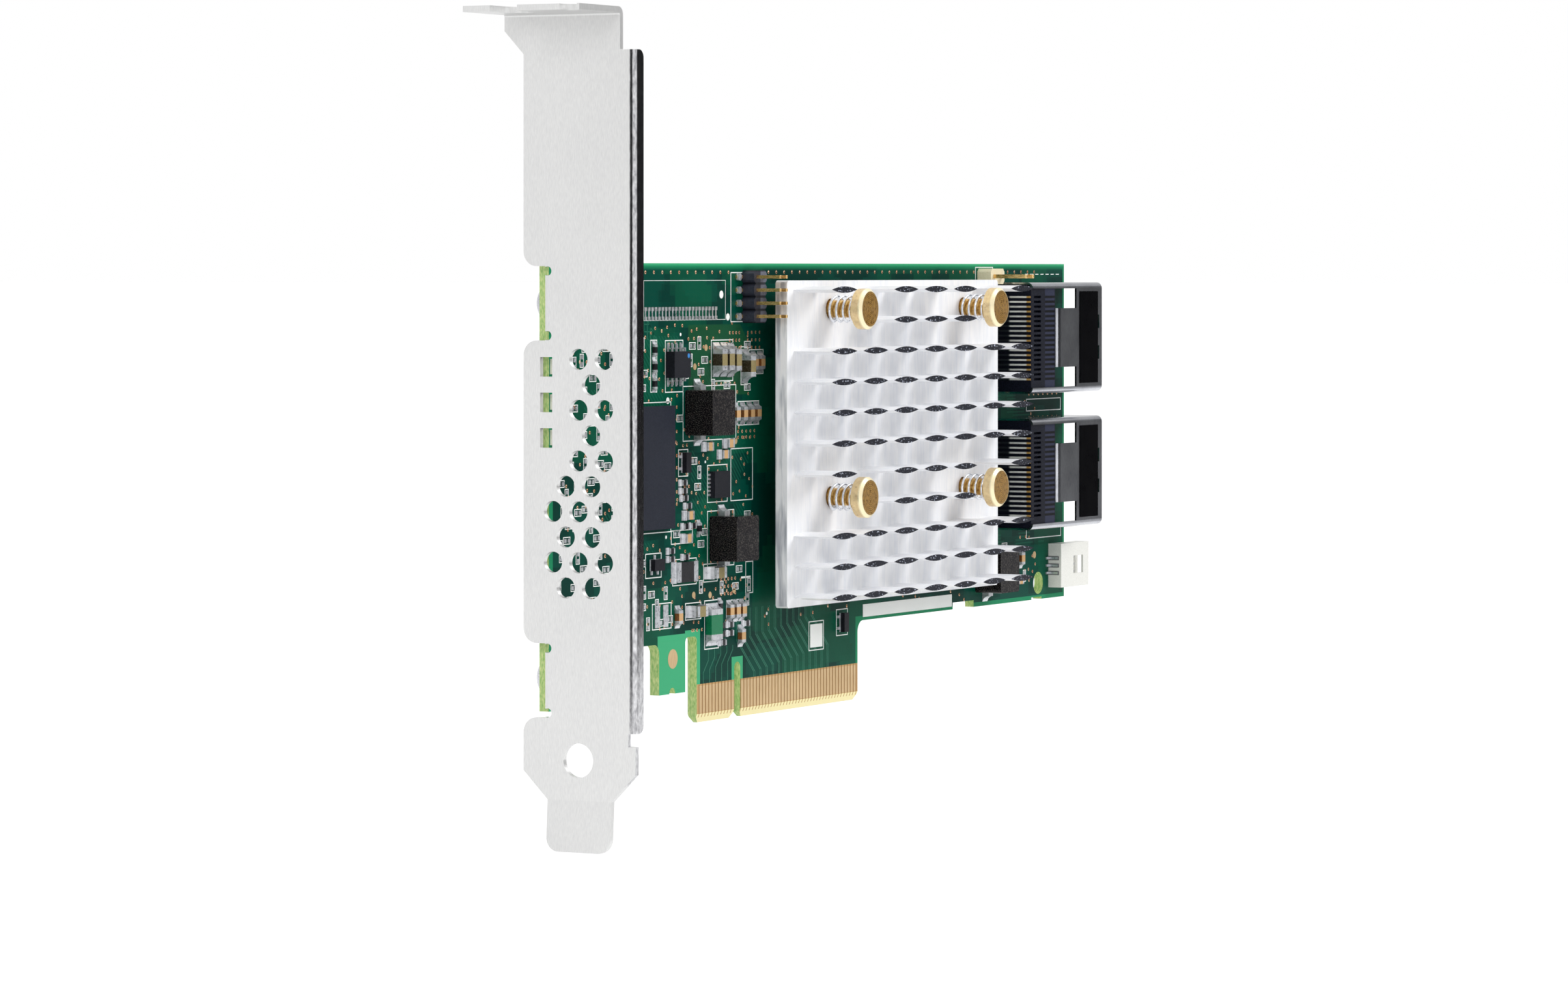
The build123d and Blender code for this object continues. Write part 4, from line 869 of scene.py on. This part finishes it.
# %% Tinned pads
TOP_PADS, TOP_PITCH, TOP_WIDE = 22, 1.02, 0.66
TOP_BANDS = ((61.75, 62.3, 0.0, 0.1), (60.9, 61.75, 0.16, 0.04), (60.35, 60.9, 0.0, 0.1))
for i in range(TOP_PADS):
    x = -28.5 + i * TOP_PITCH
    for z0, z1, inset, height in TOP_BANDS:
        solder.plate(x + inset, x + TOP_WIDE - inset, z0, z1, height)
for x in (-25.4, -22.9):
    solder.plate(x, x + 1.5, 14.9, 18.2, 0.08)
for centre in PORT_CENTRES:
    for i in range(PORT_CONTACTS):
        z = centre + (i - (PORT_CONTACTS - 1) / 2) * CONTACT_PITCH
        solder.plate(86.6, 87.5, z - 0.2, z + 0.2, 0.04)
print("pads in the top row:", TOP_PADS)

# %% [markdown]
# Spare places fill the free board between the parts. Each is a pair of small pads, upright or level, on an
# even field that keeps clear of what stands there.

# %% Spare places
SMALL = ("capacitor", "resistor", "inductor", "fuse", "transistor", "serial", "memory", "regulator")
FIELD_STEP, FIELD_COLUMNS, FIELD_ROWS = 2.15, 27, 20
CLEAR = 1.45
crowd = [box for name in nodes if any(word in name for word in SMALL) for box in islands(name)]


def is_free(x, z):
    return not any(
        lo.x - CLEAR < x < hi.x + CLEAR and lo.z - CLEAR < z < hi.z + CLEAR for lo, hi in crowd)


spare = []
for i in range(FIELD_COLUMNS):
    for j in range(FIELD_ROWS):
        x = -53.2 + FIELD_STEP * i + 0.5 * (j % 3)
        z = 15.6 + FIELD_STEP * j + 0.4 * (i % 2)
        tall = (i * 5 + j * 3) % 4 < 2
        in_panel = x > -3.4 and 31.8 < z < 48.0
        if (i * 3 + j * 7) % 5 < 3 and is_free(x, z) and not in_panel:
            spare.append((x, z, tall))
spare += [(x, z, z < 21.0) for x, z in ((92.6, 21.9), (96.0, 21.2), (99.3, 20.4), (100.2, 16.6))]
for x, z, tall in spare:
    for side in (-0.5, 0.5):
        pad_x, pad_z = (x, z + side) if tall else (x + side, z)
        solder.plate(pad_x - 0.3, pad_x + 0.3, pad_z - 0.3, pad_z + 0.3, 0.12)
solder.make()
print("spare places:", len(spare))

# %% [markdown]
# White ink frames each part or group of parts. Round dots mark a chip's first leg, and two plain white
# panels lie below the heatsink.

# %% Printed outlines
PEN = 0.14
FRAMES = (
    (-22.3, -16.8, 49.6, 57.4), (-26.7, -24.7, 49.7, 57.5), (-8.21, -1.35, 51, 57.3),
    (1.08, 3.3, 50.3, 56.2), (3.6, 8.3, 51.9, 55.7), (-16.9, -0.4, 42.2, 50.5), (0.1, 6.9, 44.2, 47.9),
    (-18.3, -15.3, 37, 41.1), (-9.4, -3.1, 32.8, 38.5), (-2.1, 4.9, 32.8, 40.8), (-9.4, -1, 23.1, 31.6),
    (-10.6, -6.2, 20.9, 23.7), (-20.1, -12.7, 20.8, 24.8), (-26.2, -20.4, 14.6, 18.5),
    (-16.2, -11.3, 15.5, 18.1), (-10.3, -5.8, 10.8, 18.2), (-3.5, 1.9, 14.6, 17.9), (23.1, 28.1, 8.6, 13.2),
    (32.3, 36.2, 10.4, 14.6), (2.6, 5, 18.6, 23.5), (-28.2, -23.4, 22.3, 26), (-20.5, -13.9, 27, 29.1),
    (100.9, 114.3, 44.1, 46.2), (100.9, 114.4, 22.7, 24.4), (-33.2, -20.5, 28.9, 48.3),
    (81.6, 88.2, 64.7, 68.3),
)
DOTS = (
    (-21.47, 48.42, 0.5), (-2.96, 60.7, 0.55), (-5.0, 64.1, 0.6), (-17.6, 58.2, 0.25),
    (-30.2, 50.0, 0.25), (9.4, 15.2, 0.25), (-10.0, 39.0, 0.2), (-22.0, 28.2, 0.25),
)
ink = moulded("white_ink", (246, 250, 246), (255, 255, 254), 0.6, 0.1, 0.01)
silk = Stock("printed_outlines", ink, "label_black")
for corners in FRAMES:
    silk.frame(*corners, PEN, INK)
for x, z, tall in spare:
    across, up = (0.55, 1.0) if tall else (1.0, 0.55)
    silk.frame(x - across, x + across, z - up, z + up, 0.12, INK)
silk.frame(-2.09, 3.1, 59.9, 67.47, PEN, INK)
silk.frame(-28.73, -3.7, 60.3, 66.27, PEN / 2, INK)
silk.plate(41.37, 72.87, 12.9, 14.9, 0.06)
silk.plate(23.6, 27.6, 9.1, 12.7, 0.06)
silk.plate(1.2, 4.2, 20.95, 21.25, INK)
for i in range(7):
    silk.plate(100.4 + 2.0 * i, 101.6 + 2.0 * i, 67.0, 67.0 + PEN, INK)
for x, z, radius in DOTS:
    silk.disc(x, z, radius, INK, 18)
silk.make()

# %% [markdown]
# A small blue dot marks the first leg of the serial chip.

# %% Pin-one dot
DOT_INSET, DOT_RADIUS, DOT_RISE = 0.65, 0.35, 0.02
low, high = box_mm("serial_chip")
dot = Stock("pin_one_dot", moulded("blue_dot", (24, 120, 200), (60, 150, 224), 0.5), "label_black")
dot.prism(circle(high.x - DOT_INSET, high.z - DOT_INSET, DOT_RADIUS, 20), low.y, low.y - DOT_RISE)
dot.make()

# %% [markdown]
# From the gold pads, copper tracks run up under the lacquer: straight, then slanting towards the controller,
# then straight again. Each is a thin ribbon that follows its corners.

# %% Tracks
track_green = moulded("track_green", (26, 104, 82), (44, 122, 96), 0.35, shine=0.2)
tracks = Stock("tracks", track_green, "solder_mask")
TRACK, TRACK_RISE = 0.16, 0.012
PAD_END, PAIR = 5.8, (0.0, 0.42)


def ribbon(stock, points, width=TRACK):
    """A flat ribbon along a line of corners, each given in X and Z."""
    left, right = [], []
    for i, point in enumerate(points):
        before = Vector(points[max(i - 1, 0)])
        after = Vector(points[min(i + 1, len(points) - 1)])
        along = (after - before).normalized()
        across = Vector((-along.y, along.x)) * width / 2
        left.append(tuple(Vector(point) + across))
        right.append(tuple(Vector(point) - across))
    top = stock.face + stock.out * TRACK_RISE
    for i in range(len(points) - 1):
        stock.prism([left[i], left[i + 1], right[i + 1], right[i]], stock.face, top)


for i in range(13):
    foot, rise = 5.2 + 2.0 * i, 6.6 + 0.22 * i
    for gap in PAIR:
        x = foot + gap
        ribbon(tracks, [(x, PAD_END), (x, rise), (x - 5.4, rise + 5.0), (x - 5.4, 16.4)])
for i in range(5):
    x, rise = -10.6 + 1.9 * i, 0.3 * i
    ribbon(tracks, [(x, PAD_END), (x, 7.4 + rise), (x + 1.6, 9.2 + rise), (x + 1.6, 11.0)])
for i in range(6):
    z = 64.2 - 1.1 * i
    ribbon(tracks, [(-43.0, z), (-31.0 + i, z), (-29.6 + i, z - 1.5), (-29.6 + i, z - 4.5)])
tracks.make()

# %% [markdown]
# The photo doesn't show the card's back, so it gets what the backs of such cards have: first, white frames.

# %% Outlines on the back
BACK_FRAMES = (
    (-50, -41, 50, 63), (-36, -27, 20, 32), (86, 114.5, 24, 45),
    (86, 114.5, 47, 66), (0.9, 5.9, 59, 68), (62, 74, 15, 19),
    (-22, -10, 52, 60), (-20, -12, 26, 36),
)
back_silk = Stock("back_outlines", ink, "label_black", BACK, 1)
for corners in BACK_FRAMES:
    back_silk.frame(*corners, 0.16, INK)
back_silk.make()

# %% [markdown]
# Pins that pass through the board end in domed points of solder. Behind the controller lies a field of
# small pads in pairs, and rows of pads fill two of the frames.

# %% Solder on the back
BEAD = ((1.0, 0.45), (0.75, 0.8), (0.4, 1.0))
CHIP_PADS, CHIP_MARGIN = 9, 3.0
LEAD_ROWS = ((-48.5, 0.8, 51.5), (-48.5, 0.8, 61), (-34.8, 0.7, 22), (-34.8, 0.7, 29.5))
back_solder = Stock("back_solder", tin, "tin", BACK, 1)


def bead(stock, x, z, radius, height):
    """A domed point of solder, as a stack of three shrinking discs."""
    for share, rise in BEAD:
        stock.disc(x, z, radius * share, height * rise, 12)


for lo, hi in islands("cable_header_pins") + islands("jumper_pins"):
    middle = (lo + hi) / 2
    bead(back_solder, middle.x if hi.x - lo.x < 2 else lo.x + 0.6, middle.z, 0.75, 0.7)
for lo, hi in islands("wire_connector_contacts"):
    bead(back_solder, lo.x + 0.6, (lo.z + hi.z) / 2, 0.7, 0.6)
chip_low, chip_high = box_mm("controller_chip")
for i in range(CHIP_PADS):
    for j in range(CHIP_PADS):
        x = chip_low.x + CHIP_MARGIN + i * (chip_high.x - chip_low.x - 2 * CHIP_MARGIN) / (CHIP_PADS - 1)
        z = chip_low.z + CHIP_MARGIN + j * (chip_high.z - chip_low.z - 2 * CHIP_MARGIN) / (CHIP_PADS - 1)
        if (i + 2 * j) % 3:
            back_solder.plate(x - 0.25, x + 0.25, z - 0.75, z - 0.2, 0.15)
            back_solder.plate(x - 0.25, x + 0.25, z + 0.2, z + 0.75, 0.15)
for i in range(10):
    for x, pitch, z in LEAD_ROWS:
        back_solder.plate(x + i * pitch, x + i * pitch + 0.4, z, z + 1.0, 0.08)
back_solder.make()

# %% [markdown]
# The data lines run here too: pairs that climb from the gold pads, and two bundles that lead to the ports.

# %% Tracks on the back
back_tracks = Stock("back_tracks", track_green, "solder_mask", BACK, 1)
for i in range(12):
    foot, rise = 1.5 + 2.6 * i, 7.0 + 0.3 * i
    for gap in PAIR:
        x = foot + gap
        ribbon(back_tracks, [(x, PAD_END), (x, rise), (x + 5.0, rise + 5.0), (x + 5.0, 24.0 + 0.8 * i)])
for i in range(16):
    z, bend = 50.0 + 0.8 * i, 79.0 + 0.4 * i
    ribbon(back_tracks, [(60.0, z), (76.0, z), (bend, z + 1.5), (88.0, z + 1.5)])
    ribbon(back_tracks, [(60.0, z - 20), (76.0, z - 20), (bend, z - 21.5), (88.0, z - 21.5)])
back_tracks.make()

# %% [markdown]
# Holes and springs are grown with Geometry Nodes. `new_tree` opens a tree with named inputs, `set_out`
# closes it with one shape copied to each point, and `grow` runs it and keeps a plain mesh.

# %% Growing with trees
def new_tree(name, source, numbers):
    """A tree with a geometry input and named numbers, and the sockets to set them by."""
    tree = bpy.data.node_groups.new(name, "GeometryNodeTree")
    tree.interface.new_socket(name=source, in_out="INPUT", socket_type="NodeSocketGeometry")
    sockets = {}
    for label, value in numbers.items():
        kind = "NodeSocketInt" if isinstance(value, int) else "NodeSocketFloat"
        sockets[label] = tree.interface.new_socket(name=label, in_out="INPUT", socket_type=kind)
        sockets[label].default_value = value
    tree.interface.new_socket(name="Geometry", in_out="OUTPUT", socket_type="NodeSocketGeometry")
    bench = Bench(tree)
    return bench, bench.add("NodeGroupInput"), sockets


def set_out(g, points, shape, turn, material):
    """Copy a shape, turned about X, to each point, as real faces with their material."""
    turned = g.add("GeometryNodeTransform", {"Geometry": shape, "Rotation": (math.radians(turn), 0, 0)})
    copies = g.add("GeometryNodeInstanceOnPoints", {"Points": points, "Instance": turned})
    plain = g.add("GeometryNodeRealizeInstances", {0: copies})
    painted = g.add("GeometryNodeSetMaterial", {"Geometry": plain, "Material": material})
    g.add("NodeGroupOutput", {0: painted})


def grow(name, grown, values, base):
    """Run a geometry tree on a mesh and keep its result as a plain mesh."""
    tree, sockets = grown
    start = put(name + "_start", base)
    modifier = start.modifiers.new(name, "NODES")
    modifier.node_group = tree
    for label, value in values.items():
        modifier[sockets[label].identifier] = value
    depsgraph = bpy.context.evaluated_depsgraph_get()
    mesh = bpy.data.meshes.new_from_object(start.evaluated_get(depsgraph), depsgraph=depsgraph)
    start.modifiers.clear()
    bpy.data.objects.remove(start)
    mesh.name = name
    return add_piece(name, mesh)


print("trees so far:", len(bpy.data.node_groups))

# %% [markdown]
# Tiny plated holes join the copper layers. Each is a low ring with a cap in it: bright copper, with walls in
# the lacquer's dark green.

# %% One plated hole
HOLE_SIDES, HOLE_RISE, CAP_RISE = 8, 0.04, 0.012
HOLE_NUMBERS = {"Radius": 0.3 * MM, "Spacing": 1.6 * MM, "Density": 2.0e5, "Seed": 7}


def hole_tree(name, material, scattered, turn=90):
    """Holes at the points of a mesh, or scattered over its faces."""
    g, given, sockets = new_tree(name, "Sheet", HOLE_NUMBERS)
    points = given["Sheet"]
    if scattered:
        points = g.add("GeometryNodeDistributePointsOnFaces", {
            "Mesh": points, "Distance Min": given["Spacing"], "Density Max": given["Density"],
            "Seed": given["Seed"]}, distribute_method="POISSON")
    inner = given["Radius"] * 0.5
    ring = g.add("GeometryNodeMeshCone", {
        "Vertices": HOLE_SIDES, "Radius Top": inner, "Radius Bottom": given["Radius"],
        "Depth": HOLE_RISE * MM}, fill_type="NONE")
    cap = g.add("GeometryNodeMeshCircle", {"Vertices": HOLE_SIDES, "Radius": inner}, fill_type="NGON")
    cap = g.add("GeometryNodeTransform", {"Geometry": cap, "Translation": (0, 0, CAP_RISE * MM)})
    joined = g.add("GeometryNodeJoinGeometry")
    for part in (ring["Mesh"], cap):
        g.tree.links.new(part.socket, joined.node.inputs[0])
    set_out(g, points, joined, turn, material)
    return g.tree, sockets


def via_finish():
    f = Finish("via_copper")
    shine = f.noise(0.7, 1.0)
    wall = abs(f.ny) < 0.97
    lit = f.mix(f.over(shine, 0.3, 0.7), (208, 126, 80), (246, 204, 166))
    return f.done(f.mix(wall, (8, 50, 40), lit), 0.35, wall * 0.5)


copper = via_finish()

# %% [markdown]
# Points scattered with a least distance between them look like a routed board. Parts hide the holes that
# fall beneath them, as on the real card.

# %% Fields of holes
FIELDS = (
    (-52, 5, 14.5, 60), (-52, -29.5, 60, 66), (79.8, 88, 17.5, 65), (98.5, 104.5, 15.5, 66),
    (7, 78, 13.5, 16), (-31, -8, 48.8, 60), (-21, -1, 13.8, 42),
)


def sheet(name, patches, y):
    """Flat rectangles at one depth."""
    verts, faces = [], []
    for x0, x1, z0, z1 in patches:
        n = len(verts)
        verts += [(x0, y, z0), (x1, y, z0), (x1, y, z1), (x0, y, z1)]
        faces.append((n, n + 1, n + 2, n + 3))
    return new_mesh(name, verts, faces)


scatter = hole_tree("plated_holes", copper, True)
front = {"Radius": 0.26 * MM, "Spacing": 1.2 * MM, "Seed": 11}
grow("plated_holes", scatter, front, sheet("hole_fields", FIELDS, FACE))

# %% [markdown]
# Other holes stand in rows. Each entry gives the first hole, the columns and rows, and the two pitches.

# %% Rows of holes
ROWS = (
    (-51, 67.45, 20, 1, 2.54, 1), (10, 67.45, 38, 1, 2.54, 1), (-2.3, 56, 4, 3, 1, 1.15),
    (3.4, 56, 4, 3, 1.25, 1.15), (-7.8, 50.6, 6, 1, 1.4, 1), (0.3, 43.3, 5, 2, 1.3, -0.9),
    (-18.7, 33, 1, 9, 1, 1.8), (-5, 18.9, 5, 3, 1.1, 1.1), (-14, 13.9, 6, 1, 1.5, 1),
    (102, 43, 7, 1, 1.8, 1), (102, 47, 7, 1, 1.8, 1), (-40, 20, 3, 12, 2.6, 3.1),
)
places = []
for x, z, columns, rows, across, up in ROWS:
    places += [(x + i * across, FACE, z + j * up) for i in range(columns) for j in range(rows)]
lined_up = hole_tree("rows_of_holes", copper, False)
grow("rows_of_holes", lined_up, {"Radius": 0.27 * MM}, new_mesh("hole_rows", places))

# %% [markdown]
# The back has its own scattered holes, a little smaller and wider apart.

# %% Holes on the back
BACK_FIELDS = (
    (-52, 112, 46, 66), (-52, -4, 15, 46), (44, 112, 15, 46), (-4, 39, 10, 46),
)
back_scatter = hole_tree("back_holes", copper, True, -90)
behind = {"Radius": 0.24 * MM, "Spacing": 1.7 * MM, "Seed": 5}
grow("back_holes", back_scatter, behind, sheet("back_fields", BACK_FIELDS, BACK))

# %% [markdown]
# The CAD springs have flats, to keep the solid light. Here each coil is a true round wire: a small circle
# swept along a spiral, one copy on each pin.

# %% Coil springs
WIRE_RADIUS, COIL_TURNS = 0.225, 4.0
COIL_NUMBERS = {
    "Turns": COIL_TURNS, "Radius": 1.925 * MM, "Height": 4.65 * MM, "Wire radius": WIRE_RADIUS * MM,
}


def coil_tree(material):
    g, given, sockets = new_tree("coil_springs", "Spots", COIL_NUMBERS)
    spiral = g.add("GeometryNodeCurveSpiral", {
        "Resolution": 28, "Rotations": given["Turns"], "Start Radius": given["Radius"],
        "End Radius": given["Radius"], "Height": given["Height"]})
    section = g.add("GeometryNodeCurvePrimitiveCircle", {
        "Resolution": 10, "Radius": given["Wire radius"]})
    tube = g.add("GeometryNodeCurveToMesh", {
        "Curve": spiral, "Profile Curve": section["Curve"], "Fill Caps": True})
    smooth = g.add("GeometryNodeSetShadeSmooth", {"Geometry": tube})
    set_out(g, given["Spots"], smooth, 90, material)
    return g.tree, sockets


seat = box_mm("push_pin_springs")[1].y - WIRE_RADIUS
spots = new_mesh("coil_spots", [(x, seat, z) for x, z in PIN_AXES])
piece = grow("coil_springs", coil_tree(wire), {"Turns": COIL_TURNS}, spots)
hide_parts("push_pin_springs")
